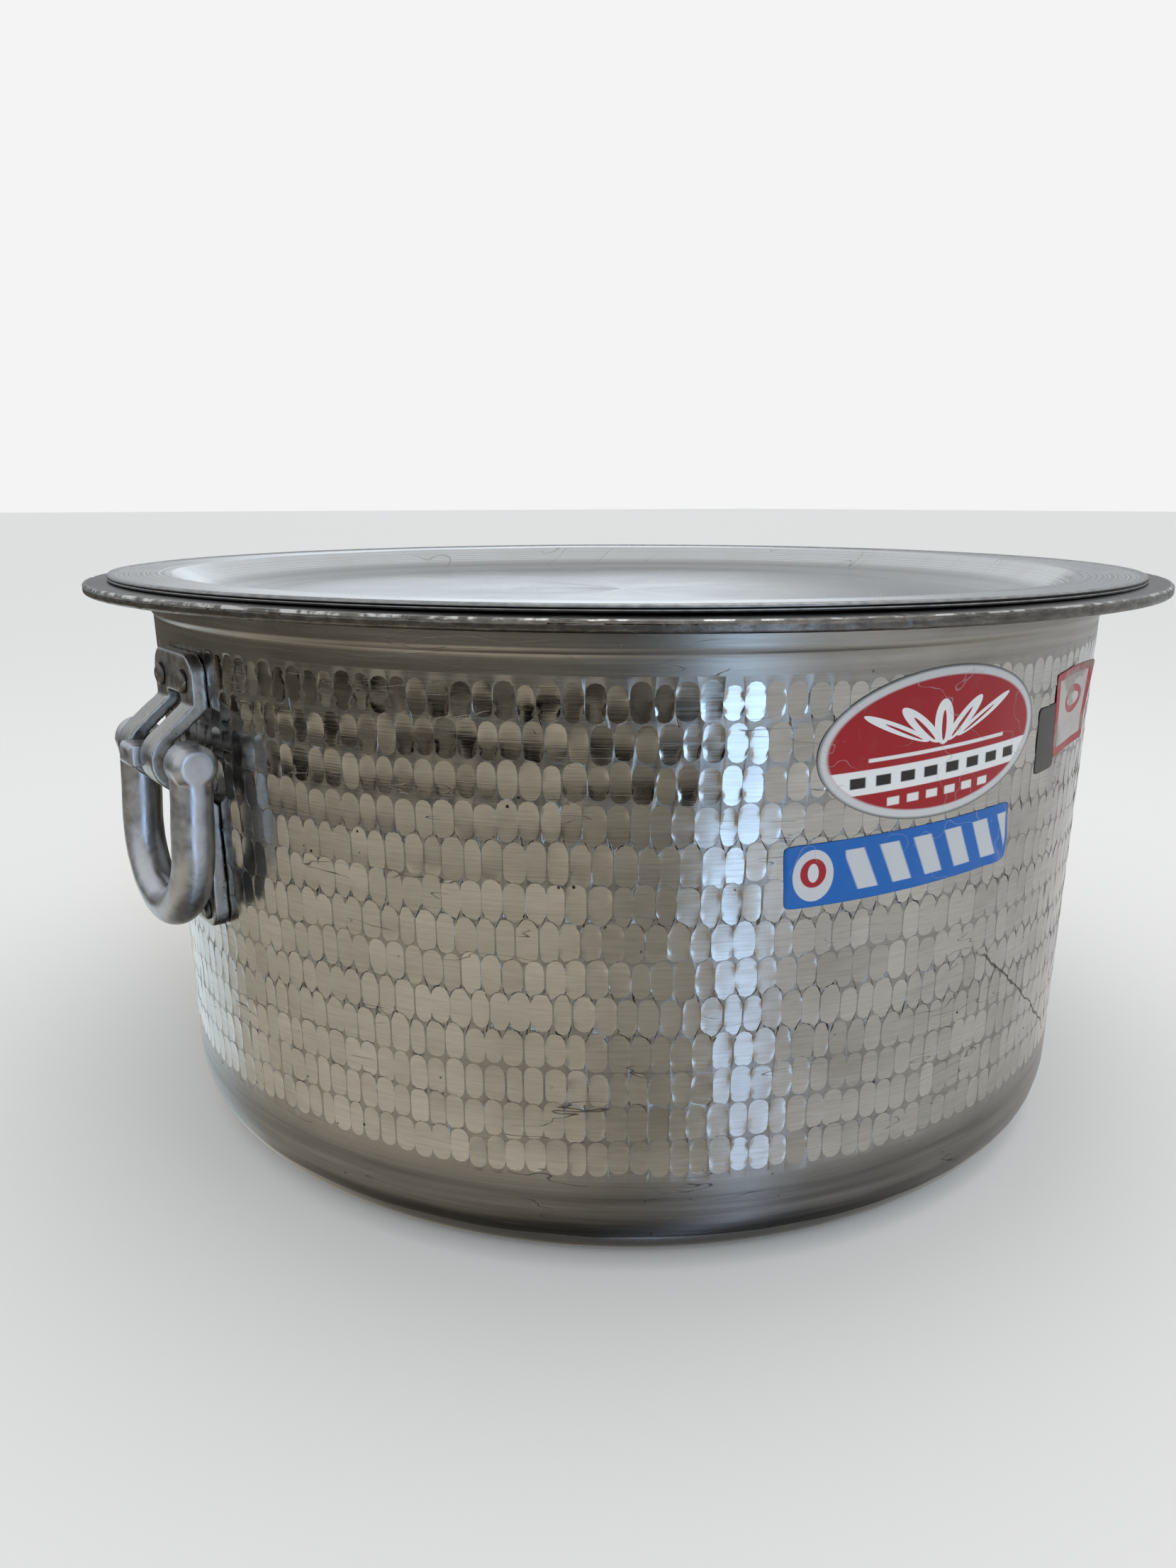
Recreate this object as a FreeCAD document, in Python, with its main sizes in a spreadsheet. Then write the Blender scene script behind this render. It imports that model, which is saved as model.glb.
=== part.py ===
"""Hammered aluminium cooking pot with a dished lid and two drop-ring handles.

Row frame: millimetres, +Z up, the pot stands on Z = 0 with its axis on Z, the handles are on +X and -X
and the labels face -Y.
"""
import FreeCAD, Part
import os
import Sketcher

# The driving dimensions. A text that starts with "=" is worked out from the others.
DIMENSIONS = [
    # pot
    ("rim_height", "238", "top of the flange above the floor"),
    ("neck_height", "224.3", "the spun step between the smooth neck and the wall"),
    ("neck_step", "0.9", "how far the neck stands out from the wall"),
    ("wall_top_radius", "215", "outside of the wall just under the neck"),
    ("wall_foot_radius", "210.2", "outside of the wall, carried down to the floor"),
    ("wall_gauge", "3.2", "thickness of the wall"),
    ("base_gauge", "4", "thickness of the flat base"),
    ("foot_round", "25", "outside radius between wall and base"),
    ("flange_radius", "241.5", "outer edge of the flange"),
    ("flange_gauge", "4.6", "thickness of the flange"),
    ("mouth_round", "5", "radius of the inner lip"),
    ("flange_root_round", "2.5", "radius between neck and flange"),
    ("flange_edge_round", "1.15", "radius of the flange's upper edge"),
    # lid
    ("lid_radius", "232", "outer edge of the lid"),
    ("lid_gauge", "2", "thickness of the lid's sheet"),
    ("lid_hem", "3", "thickness of the folded edge"),
    ("lid_hem_width", "3.5", "how far the folded edge reaches in"),
    ("lid_hem_round", "1", "radius of the folded edge"),
    ("dish_radius", "208", "where the lid's flat rim turns down"),
    ("dish_floor_radius", "190", "edge of the lid's flat floor"),
    ("dish_lead", "1", "how far the dish's bends lie further in on its upper side"),
    ("dish_depth", "12", "rim to floor of the lid"),
    ("dish_round", "5", "bend radius of the dish"),
    # handle bracket: a strap that leaves the wall, runs round the ring's bar and comes back
    ("bar_height", "176.5", "hinge axis of the ring handles above the floor"),
    ("bar_reach", "225", "hinge axis of the ring handles from the pot's axis"),
    ("bar_radius", "6", "the bar inside the bracket's loop"),
    ("bar_play", "0.5", "running gap between bar and loop"),
    ("strap_width", "42", "width of the bracket"),
    ("strap_gauge", "5", "thickness of the bracket"),
    ("strap_top", "215", "upper end of the bracket"),
    ("strap_foot", "107.5", "lower end of the bracket"),
    ("strap_corner", "8", "corner radius of the bracket's ends"),
    ("ramp_angle", "50", "where the loop's arc gives way to the straight ramps, degrees from the horizontal"),
    ("slot_width", "15", "window between the two strips of the loop"),
    ("slot_top", "199", "upper end of the window"),
    ("slot_foot", "154.5", "lower end of the window"),
    # rivets
    ("rivet_spread", "12.5", "sideways distance of a rivet from the bracket's middle"),
    ("rivet_upper", "204.5", "height of the upper rivets"),
    ("rivet_middle", "146.5", "height of the rivets under the loop"),
    ("rivet_lower", "114.5", "height of the lower rivets"),
    ("shank_radius", "3", "rivet shank"),
    ("hole_play", "0.05", "gap between a shank and its hole"),
    ("head_radius", "4.6", "domed outer head"),
    ("head_height", "2.3", "domed outer head"),
    ("inner_head_radius", "5", "flat head inside the pot"),
    ("inner_head_height", "1.6", "flat head inside the pot"),
    # ring handle
    ("ring_rod", "7.8", "radius of the ring's round rod"),
    ("ring_half", "30.5", "middle of the ring to the middle of each arm"),
    ("ring_arm", "30", "straight part of each arm under the hinge axis"),
    ("shoulder_radius", "8.4", "the upset shoulders at the top of the arms"),
    ("shoulder_width", "15.6", "the upset shoulders along the bar"),
    ("shoulder_chamfer", "2.4", "the flats on the shoulders"),
    ("lug_width", "13.4", "locating lug that sits in the window"),
    ("lug_height", "8.6", "locating lug"),
    ("lug_reach", "15", "hinge axis to the lug's nose"),
    ("lug_chamfer", "1.4", "edges of the lug's nose"),
    ("rest_angle", "3.0", "how far the ring leans out where it rests against the lower rivets, degrees"),
    # labels
    ("label_gauge", "0.25", "thickness of the stickers"),
    ("glue_gap", "0.05", "glue line under the stickers"),
    ("oval_length", "100", "oval sticker"),
    ("oval_height", "52", "oval sticker"),
    ("strip_length", "100", "long sticker"),
    ("strip_height", "22", "long sticker"),
    ("square_side", "32", "small sticker"),
    # worked out
    ("wall_slope", "=(wall_top_radius - wall_foot_radius) / neck_height", "taper of the wall"),
    ("neck_radius", "=wall_top_radius + neck_step", "outside of the neck"),
    ("mouth_radius", "=neck_radius - wall_gauge", "inside of the neck"),
    ("cavity_top_radius", "=wall_top_radius - wall_gauge", "inside of the wall under the neck"),
    ("cavity_foot_radius", "=wall_foot_radius - wall_gauge", "inside of the wall, carried down to the floor"),
    ("loop_inner", "=bar_radius + bar_play", "inside of the bracket's loop"),
    ("loop_outer", "=loop_inner + strap_gauge", "outside of the bracket's loop"),
    ("strap_back", "=wall_foot_radius", "behind the bracket before the wall's surface trims it"),
    ("strap_face", "=wall_top_radius + strap_gauge - wall_slope * (neck_height - rivet_upper)", "outer face"),
    ("strap_face_foot", "=wall_top_radius + strap_gauge - wall_slope * (neck_height - rivet_lower)", "outer face"),
]

HANDLE_SIDES = {"left": 180.0, "right": 0.0}

# Stickers: direction from the pot's axis in degrees from -Y towards +X, height of the middle, tilt.
OVAL_PLACE = (-8.5, 191.0, 3.0)
STRIP_PLACE = (-11.0, 151.2, 2.6)
SQUARE_PLACE = (14.5, 193.0, 6.0)

# Edges are found within this many millimetres, and a cut that removes less than this many cubic ones fails.
SLACK = 0.05
LEAST_CUT = 1.0


def make_sheet(doc):
    """The spreadsheet: one row per driving dimension, with its alias and what it is."""
    sheet = doc.addObject("Spreadsheet::Sheet", "dims")
    for row, (alias, value, meaning) in enumerate(DIMENSIONS, start=1):
        sheet.set(f"A{row}", alias)
        sheet.set(f"B{row}", value)
        sheet.set(f"C{row}", meaning)
        sheet.setAlias(f"B{row}", alias)
    doc.recompute()
    return sheet


def dim(name):
    """A dimension as an expression."""
    return "dims." + name


def value_of(doc, expression):
    """The number that an expression over the spreadsheet gives."""
    return float(doc.dims.evalExpression(expression))


def bind(feature, **sizes):
    """Bind properties of a feature to expressions over the spreadsheet."""
    for name, expression in sizes.items():
        feature.setExpression(name, expression)


def origin_plane(body, role):
    """One of the body's own origin planes."""
    return next(item for item in body.Origin.OriginFeatures if item.Role == role)


def new_sketch(body, name, role):
    """A sketch on one of the body's origin planes."""
    sketch = body.newObject("Sketcher::SketchObject", name)
    sketch.AttachmentSupport = (origin_plane(body, role), [""])
    sketch.MapMode = "FlatFace"
    return sketch


def fix_point(sketch, edge, end, across, up):
    """Hold one end of an edge at a place given by two expressions; "0" puts it on the axis."""
    for kind, expression, axis in (("DistanceX", across, -2), ("DistanceY", up, -1)):
        if expression == "0":
            sketch.addConstraint(Sketcher.Constraint("PointOnObject", edge, end, axis))
            continue
        value = value_of(sketch.Document, expression)
        index = sketch.addConstraint(Sketcher.Constraint(kind, -1, 1, edge, end, value))
        sketch.setExpression(f"Constraints[{index}]", expression)


def outline(sketch, corners, arcs=None):
    """A closed outline through the corners, each a pair of expressions.

    arcs maps a corner's number to the centre and radius of the arc that runs from it to the next corner.
    """
    arcs = arcs or {}
    doc = sketch.Document
    points = [FreeCAD.Vector(value_of(doc, x), value_of(doc, y), 0) for x, y in corners]
    count = len(points)
    for number, start in enumerate(points):
        end = points[(number + 1) % count]
        if number in arcs:
            centre_x, centre_y, radius = (value_of(doc, item) for item in arcs[number])
            centre = FreeCAD.Vector(centre_x, centre_y, 0)
            middle = centre + ((start + end) * 0.5 - centre).normalize() * radius
            sketch.addGeometry(Part.Arc(start, middle, end), False)
        else:
            sketch.addGeometry(Part.LineSegment(start, end), False)
    starts = [arc_end(sketch, number, points[number]) for number in range(count)]
    for number in range(count):
        previous = (number - 1) % count
        constraint = Sketcher.Constraint(
            "Coincident", previous, 3 - starts[previous], number, starts[number]
        )
        sketch.addConstraint(constraint)
    for number, (across, up) in enumerate(corners):
        fix_point(sketch, number, starts[number], across, up)
    for number, (_, _, radius) in arcs.items():
        index = sketch.addConstraint(Sketcher.Constraint("Radius", number, value_of(doc, radius)))
        sketch.setExpression(f"Constraints[{index}]", radius)


def arc_end(sketch, number, point):
    """Which end of an edge, 1 or 2, lies at the point: an arc may be stored backwards."""
    first, second = sketch.getPoint(number, 1), sketch.getPoint(number, 2)
    return 1 if first.distanceToPoint(point) <= second.distanceToPoint(point) else 2


def revolve(body, sketch, cut=False):
    """A full turn of the sketch about the pot's axis, added or cut."""
    kind, name = ("PartDesign::Groove", "Groove") if cut else ("PartDesign::Revolution", "Revolution")
    feature = body.newObject(kind, name)
    feature.Profile = sketch
    feature.ReferenceAxis = (sketch, ["V_Axis"])
    feature.Angle = 360
    body.Document.recompute()
    return feature


def cut_along_x(body, sketch, name):
    """A pocket through everything both ways along X; it must remove material."""
    before = body.Shape.Volume
    pocket = body.newObject("PartDesign::Pocket", name)
    pocket.Profile = sketch
    pocket.Type = "ThroughAll"
    pocket.SideType = "Symmetric"
    body.Document.recompute()
    if before - body.Shape.Volume < LEAST_CUT:
        raise RuntimeError(f"{name} of {body.Label} cuts nothing")
    return pocket


def round_edges(body, name, radius, wanted):
    """A fillet on the edges of the body's shape that the test accepts."""
    feature = body.Tip
    chosen = [f"Edge{n}" for n, edge in enumerate(feature.Shape.Edges, start=1) if wanted(edge)]
    if not chosen:
        raise RuntimeError(f"{name} of {body.Label} finds no edge")
    fillet = body.newObject("PartDesign::Fillet", name)
    fillet.Base = (feature, chosen)
    bind(fillet, Radius=radius)
    body.Document.recompute()
    return fillet


def circle_at(doc, radius, height):
    """A test for whole circular edges about the pot's axis."""
    radius, height = value_of(doc, radius), value_of(doc, height)

    def wanted(edge):
        curve = edge.Curve
        if not isinstance(curve, Part.Circle):
            return False
        on_axis = abs(curve.Center.x) < SLACK and abs(curve.Center.y) < SLACK
        return on_axis and abs(curve.Radius - radius) < SLACK and abs(curve.Center.z - height) < SLACK

    return wanted


def make_pot(doc):
    """Spun pot: flat base, slightly tapered wall, stepped neck and flat flange."""
    body = doc.addObject("PartDesign::Body", "pot_body")
    sketch = new_sketch(body, "pot_profile", "XZ_Plane")
    flange_under = "dims.rim_height - dims.flange_gauge"
    cavity_foot = "dims.cavity_foot_radius + dims.wall_slope * dims.base_gauge"
    cavity_top = "dims.neck_height - dims.neck_step"
    outline(sketch, [
        ("0", "0"),
        (dim("wall_foot_radius"), "0"),
        (dim("wall_top_radius"), dim("neck_height")),
        (dim("neck_radius"), "dims.neck_height + dims.neck_step"),
        (dim("neck_radius"), flange_under),
        (dim("flange_radius"), flange_under),
        (dim("flange_radius"), dim("rim_height")),
        (dim("mouth_radius"), dim("rim_height")),
        (dim("mouth_radius"), dim("neck_height")),
        (dim("cavity_top_radius"), cavity_top),
        (cavity_foot, dim("base_gauge")),
        ("0", dim("base_gauge")),
    ])
    revolve(body, sketch)
    round_edges(body, "foot_fillet", dim("foot_round"), circle_at(doc, dim("wall_foot_radius"), "0"))
    inner_round = "dims.foot_round - dims.wall_gauge"
    round_edges(body, "cavity_fillet", inner_round, circle_at(doc, cavity_foot, dim("base_gauge")))
    round_edges(body, "lip_fillet", dim("mouth_round"), circle_at(doc, dim("mouth_radius"), dim("rim_height")))
    round_edges(body, "flange_root", dim("flange_root_round"), circle_at(doc, dim("neck_radius"), flange_under))
    flange_corner = circle_at(doc, dim("flange_radius"), dim("rim_height"))
    round_edges(body, "flange_edge", dim("flange_edge_round"), flange_corner)
    cut_along_x(body, rivet_holes(body), "rivet_holes")
    return body


def make_lid(doc):
    """Pressed lid: flat rim with a folded edge, sloped dish and flat floor."""
    body = doc.addObject("PartDesign::Body", "lid")
    sketch = new_sketch(body, "lid_profile", "XZ_Plane")
    rim_top = "dims.rim_height + dims.lid_gauge"
    floor_top = "dims.rim_height + dims.lid_gauge - dims.dish_depth"
    floor_under = "dims.rim_height - dims.dish_depth"
    hem_top = "dims.rim_height + dims.lid_hem"
    hem_inner = "dims.lid_radius - dims.lid_hem_width"
    bend_top = "dims.dish_radius - dims.dish_lead"
    bend_foot = "dims.dish_floor_radius - dims.dish_lead"
    outline(sketch, [
        ("0", floor_under),
        (dim("dish_floor_radius"), floor_under),
        (dim("dish_radius"), dim("rim_height")),
        (dim("lid_radius"), dim("rim_height")),
        (dim("lid_radius"), hem_top),
        (hem_inner, hem_top),
        (hem_inner, rim_top),
        (bend_top, rim_top),
        (bend_foot, floor_top),
        ("0", floor_top),
    ])
    revolve(body, sketch)
    round_edges(body, "dish_top", dim("dish_round"), circle_at(doc, bend_top, rim_top))
    round_edges(body, "dish_bottom", dim("dish_round"), circle_at(doc, bend_foot, floor_top))
    round_edges(body, "hem_edge", dim("lid_hem_round"), circle_at(doc, dim("lid_radius"), hem_top))
    return body


def rivet_holes(body):
    """A sketch with the six rivet holes of one bracket, seen along X."""
    sketch = new_sketch(body, "rivet_pattern", "YZ_Plane")
    doc = body.Document
    radius = value_of(doc, "dims.shank_radius + dims.hole_play")
    for height in ("rivet_upper", "rivet_middle", "rivet_lower"):
        for side in (1, -1):
            across = f"{side} * dims.rivet_spread"
            centre = FreeCAD.Vector(value_of(doc, across), value_of(doc, dim(height)), 0)
            circle = sketch.addGeometry(Part.Circle(centre, FreeCAD.Vector(0, 0, 1), radius), False)
            fix_point(sketch, circle, 3, across, dim(height))
            index = sketch.addConstraint(Sketcher.Constraint("Radius", circle, radius))
            sketch.setExpression(f"Constraints[{index}]", "dims.shank_radius + dims.hole_play")
    return sketch


def wall_region(body):
    """The half section inside the wall's outer surface, used to trim what lies against the wall."""
    sketch = new_sketch(body, "wall_region", "XZ_Plane")
    outline(sketch, [
        ("0", "0"),
        (dim("wall_foot_radius"), "0"),
        (dim("wall_top_radius"), dim("neck_height")),
        ("0", dim("neck_height")),
    ])
    return sketch


def make_bracket(doc, side):
    """Strap bracket: two riveted ends and a slotted loop round the ring's bar, its back fitted to the wall."""
    body = doc.addObject("PartDesign::Body", side + "_bracket")
    sketch = new_sketch(body, "strap_profile", "XZ_Plane")
    cos_ramp, sin_ramp = "cos(dims.ramp_angle)", "sin(dims.ramp_angle)"
    outer_x = f"dims.bar_reach + dims.loop_outer * {cos_ramp}"
    inner_x = f"dims.bar_reach + dims.loop_inner * {cos_ramp}"
    outer_rise = f"dims.loop_outer * {sin_ramp}"
    inner_rise = f"dims.loop_inner * {sin_ramp}"
    # Along a ramp the height changes by the distance to the wall divided by the angle's tangent.
    face_rise = f"({outer_rise} + ({outer_x} - dims.strap_face) / tan(dims.ramp_angle))"
    foot_rise = f"({outer_rise} + ({outer_x} - dims.strap_face_foot) / tan(dims.ramp_angle))"
    back_rise = f"({inner_rise} + ({inner_x} - dims.strap_back) / tan(dims.ramp_angle))"
    outline(sketch, [
        (dim("strap_back"), dim("strap_top")),
        (dim("strap_face"), dim("strap_top")),
        (dim("strap_face"), f"dims.bar_height + {face_rise}"),
        (outer_x, f"dims.bar_height + {outer_rise}"),
        (outer_x, f"dims.bar_height - {outer_rise}"),
        (dim("strap_face_foot"), f"dims.bar_height - {foot_rise}"),
        (dim("strap_face_foot"), dim("strap_foot")),
        (dim("strap_back"), dim("strap_foot")),
        (dim("strap_back"), f"dims.bar_height - {back_rise}"),
        (inner_x, f"dims.bar_height - {inner_rise}"),
        (inner_x, f"dims.bar_height + {inner_rise}"),
        (dim("strap_back"), f"dims.bar_height + {back_rise}"),
    ], arcs={
        3: (dim("bar_reach"), dim("bar_height"), dim("loop_outer")),
        9: (dim("bar_reach"), dim("bar_height"), dim("loop_inner")),
    })
    pad = body.newObject("PartDesign::Pad", "strap")
    pad.Profile = sketch
    pad.SideType = "Symmetric"
    bind(pad, Length=dim("strap_width"))
    doc.recompute()
    revolve(body, wall_region(body), cut=True)
    cut_along_x(body, slot_window(body), "window")
    cut_along_x(body, rivet_holes(body), "rivet_holes")
    ends = (value_of(doc, dim("strap_top")), value_of(doc, dim("strap_foot")))
    half = value_of(doc, "dims.strap_width / 2")

    def end_corner(edge):
        middle = edge.CenterOfMass
        at_end = min(abs(middle.z - end) for end in ends) < SLACK
        return at_end and abs(abs(middle.y) - half) < SLACK and edge.BoundBox.ZLength < SLACK

    round_edges(body, "end_corners", dim("strap_corner"), end_corner)
    turn_about_axis(body, HANDLE_SIDES[side])
    return body


def slot_window(body):
    """A sketch of the window between the loop's two strips, seen along X."""
    sketch = new_sketch(body, "window_outline", "YZ_Plane")
    outline(sketch, [
        ("-dims.slot_width / 2", dim("slot_foot")),
        ("dims.slot_width / 2", dim("slot_foot")),
        ("dims.slot_width / 2", dim("slot_top")),
        ("-dims.slot_width / 2", dim("slot_top")),
    ])
    return sketch


def turn_about_axis(feature, angle):
    """Turn a finished sub-part about the pot's axis."""
    turn = FreeCAD.Placement(FreeCAD.Vector(0, 0, 0), FreeCAD.Rotation(FreeCAD.Vector(0, 0, 1), angle))
    feature.Placement = turn.multiply(feature.Placement)


def make_rivet(doc, label, height, spread, side):
    """One-piece rivet along X: domed head outside, shank, flat head inside the pot."""
    body = doc.addObject("PartDesign::Body", label)
    sketch = new_sketch(body, "rivet_profile", "XZ_Plane")
    # Lengths run along the rivet from the pot's axis; the wall's radius at this height sets the grip.
    wall = f"(dims.wall_foot_radius + dims.wall_slope * dims.{height})"
    face = dim("strap_face") if height == "rivet_upper" else dim("strap_face_foot")
    inner_flat = f"sqrt(({wall} - dims.wall_gauge) ^ 2 - (dims.rivet_spread + dims.inner_head_radius) ^ 2)"
    inner_flat += " - dims.wall_slope * dims.inner_head_radius"
    dome_radius = "(dims.head_radius ^ 2 + dims.head_height ^ 2) / (2 * dims.head_height)"
    outline(sketch, [
        ("0", f"{inner_flat} - dims.inner_head_height"),
        (dim("inner_head_radius"), f"{inner_flat} - dims.inner_head_height"),
        (dim("inner_head_radius"), inner_flat),
        (dim("shank_radius"), inner_flat),
        (dim("shank_radius"), face),
        (dim("head_radius"), face),
        ("0", f"{face} + dims.head_height"),
    ], arcs={5: ("0", f"{face} + dims.head_height - {dome_radius}", dome_radius)})
    revolve(body, sketch)
    lay_down = FreeCAD.Rotation(FreeCAD.Vector(0, 1, 0), 90)
    place = FreeCAD.Vector(0, spread * value_of(doc, dim("rivet_spread")), value_of(doc, dim(height)))
    body.Placement = FreeCAD.Placement(place, lay_down)
    turn_about_axis(body, HANDLE_SIDES[side])
    return body


def make_rivets(doc, side):
    """Six rivets hold each bracket."""
    rivets = []
    for row in ("upper", "middle", "lower"):
        for hand, spread in (("a", -1), ("b", 1)):
            label = f"{side}_{row}_rivet_{hand}"
            rivets.append(make_rivet(doc, label, "rivet_" + row, spread, side))
    return rivets


def cylinder(doc, name, radius, length, place, rotation):
    """A Part cylinder with bound sizes."""
    item = doc.addObject("Part::Cylinder", name)
    bind(item, Radius=radius, Height=length)
    item.Placement = FreeCAD.Placement(place, rotation)
    return item


def make_ring(doc, side):
    """Forged ring handle about its hinge axis: bar, two shoulders, two arms, half-round bottom and lug."""
    vector, rotation = FreeCAD.Vector, FreeCAD.Rotation
    half = value_of(doc, dim("ring_half"))
    arm = value_of(doc, dim("ring_arm"))
    shoulder = value_of(doc, dim("shoulder_width"))
    upright = rotation()
    along_y = rotation(vector(1, 0, 0), -90)
    pieces = [cylinder(doc, side + "_bar", dim("bar_radius"), "2 * dims.ring_half", vector(0, -half, 0), along_y)]
    for hand, sign in (("a", -1), ("b", 1)):
        name = f"{side}_shoulder_{hand}"
        place = vector(0, sign * half - shoulder / 2, 0)
        block = cylinder(doc, name, dim("shoulder_radius"), dim("shoulder_width"), place, along_y)
        doc.recompute()
        facets = doc.addObject("Part::Chamfer", name + "_facets")
        facets.Base = block
        flat = value_of(doc, dim("shoulder_chamfer"))
        rims = [n for n, edge in enumerate(block.Shape.Edges, start=1) if isinstance(edge.Curve, Part.Circle)]
        facets.Edges = [(n, flat, flat) for n in rims]
        pieces.append(facets)
        name = f"{side}_arm_{hand}"
        pieces.append(cylinder(doc, name, dim("ring_rod"), dim("ring_arm"), vector(0, sign * half, -arm), upright))
    bend = doc.addObject("Part::Torus", side + "_bend")
    bind(bend, Radius1=dim("ring_half"), Radius2=dim("ring_rod"))
    bend.Angle3 = 180
    bend.Placement = FreeCAD.Placement(vector(0, 0, -arm), rotation(vector(0, 0, 1), 90).multiply(
        rotation(vector(1, 0, 0), -90)))
    pieces.append(bend)
    pieces.append(make_lug(doc, side))
    ring = doc.addObject("Part::MultiFuse", side + "_ring_handle")
    ring.Shapes = pieces
    lean = rotation(vector(0, 1, 0), -value_of(doc, dim("rest_angle")))
    hinge = vector(value_of(doc, dim("bar_reach")), 0, value_of(doc, dim("bar_height")))
    ring.Placement = FreeCAD.Placement(hinge, lean)
    turn_about_axis(ring, HANDLE_SIDES[side])
    return ring


def make_lug(doc, side):
    """The lug that stands out of the bar through the bracket's window, its nose chamfered."""
    block = doc.addObject("Part::Box", side + "_lug_block")
    bind(block, Length=dim("lug_reach"), Width=dim("lug_width"), Height=dim("lug_height"))
    width = value_of(doc, dim("lug_width"))
    height = value_of(doc, dim("lug_height"))
    block.Placement = FreeCAD.Placement(FreeCAD.Vector(0, -width / 2, -height / 2), FreeCAD.Rotation())
    doc.recompute()
    nose = value_of(doc, dim("lug_reach"))
    flat = value_of(doc, dim("lug_chamfer"))
    front = [n for n, edge in enumerate(block.Shape.Edges, start=1) if abs(edge.CenterOfMass.x - nose) < SLACK]
    lug = doc.addObject("Part::Chamfer", side + "_lug")
    lug.Base = block
    lug.Edges = [(n, flat, flat) for n in front]
    return lug


def make_skin(doc, name):
    """A thin cone shell just off the wall, from which a sticker is cut."""
    shells = []
    for layer, offset in (("outer", "dims.glue_gap + dims.label_gauge"), ("inner", "dims.glue_gap")):
        cone = doc.addObject("Part::Cone", f"{name}_{layer}")
        bind(cone, Radius1=f"dims.wall_foot_radius + {offset}", Radius2=f"dims.wall_top_radius + {offset}",
             Height=dim("neck_height"))
        shells.append(cone)
    skin = doc.addObject("Part::Cut", name + "_skin")
    skin.Base, skin.Tool = shells
    return skin


def facing(place, width, height):
    """Placement for a stencil: its X along the wall, its Y up the wall, its Z out of the wall."""
    direction, middle, tilt = place
    vector, rotation = FreeCAD.Vector, FreeCAD.Rotation
    stand_up = rotation(vector(1, 0, 0), 90)
    turn = rotation(vector(0, 0, 1), direction).multiply(stand_up).multiply(rotation(vector(0, 0, 1), tilt))
    corner = turn.multVec(vector(-width / 2, -height / 2, 0))
    return FreeCAD.Placement(corner + vector(0, 0, middle), turn)


def make_label(doc, name, stencil):
    """A sticker: the part of the skin inside the stencil."""
    label = doc.addObject("Part::Common", name)
    label.Base, label.Tool = make_skin(doc, name), stencil
    return label


def rectangle_stencil(doc, name, width, height, place):
    """A box that stands out of the pot's axis through the wall."""
    box = doc.addObject("Part::Box", name + "_stencil")
    bind(box, Length=width, Width=height, Height="dims.flange_radius")
    box.Placement = facing(place, value_of(doc, width), value_of(doc, height))
    return box


def oval_stencil(doc, name, width, height, place):
    """An elliptic column that stands out of the pot's axis through the wall."""
    ellipse = doc.addObject("Part::Ellipse", name + "_ellipse")
    bind(ellipse, MajorRadius=f"{width} / 2", MinorRadius=f"{height} / 2")
    column = doc.addObject("Part::Extrusion", name + "_stencil")
    column.Base = ellipse
    column.DirMode = "Custom"
    column.Dir = FreeCAD.Vector(0, 0, 1)
    column.Solid = True
    bind(column, LengthFwd="dims.flange_radius")
    column.Placement = facing(place, 0, 0)
    return column


def make_labels(doc):
    """The three stickers on the wall."""
    oval = oval_stencil(doc, "label_oval", dim("oval_length"), dim("oval_height"), OVAL_PLACE)
    strip = rectangle_stencil(doc, "label_strip", dim("strip_length"), dim("strip_height"), STRIP_PLACE)
    square = rectangle_stencil(doc, "label_square", dim("square_side"), dim("square_side"), SQUARE_PLACE)
    stencils = {"label_oval": oval, "label_strip": strip, "label_square": square}
    return [make_label(doc, name, stencil) for name, stencil in stencils.items()]


def check_document(doc, subparts):
    """Stop on any failed feature, and on any sub-part that is empty, broken or not one solid."""
    for item in doc.Objects:
        if {"Invalid", "Error"} & set(item.State):
            raise RuntimeError(f"{item.Label}: {item.State}")
    for item in subparts:
        shape = item.Shape
        if shape.isNull() or not shape.isValid() or len(shape.Solids) != 1:
            raise RuntimeError(f"{item.Label} is not one valid solid")


def main():
    """Build every sub-part, check it and write its STEP file."""
    doc = FreeCAD.newDocument("cooking_pot")
    make_sheet(doc)
    subparts = [make_pot(doc), make_lid(doc)]
    for side in HANDLE_SIDES:
        subparts.append(make_bracket(doc, side))
        subparts.append(make_ring(doc, side))
        subparts.extend(make_rivets(doc, side))
    subparts.extend(make_labels(doc))
    doc.recompute()
    check_document(doc, subparts)
    os.makedirs("parts", exist_ok=True)
    for item in subparts:
        item.Shape.exportStep(f"parts/{item.Label}.step")
        print(f"{item.Label}: {item.Shape.Volume / 1000:.2f} cm3")


main()
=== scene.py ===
"""Hammered aluminium cooking pot with a pressed lid and two forged ring handles.

Lengths are in metres, +Z is up, the handles are on +X and -X and the stickers face -Y.
"""
import math

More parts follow.
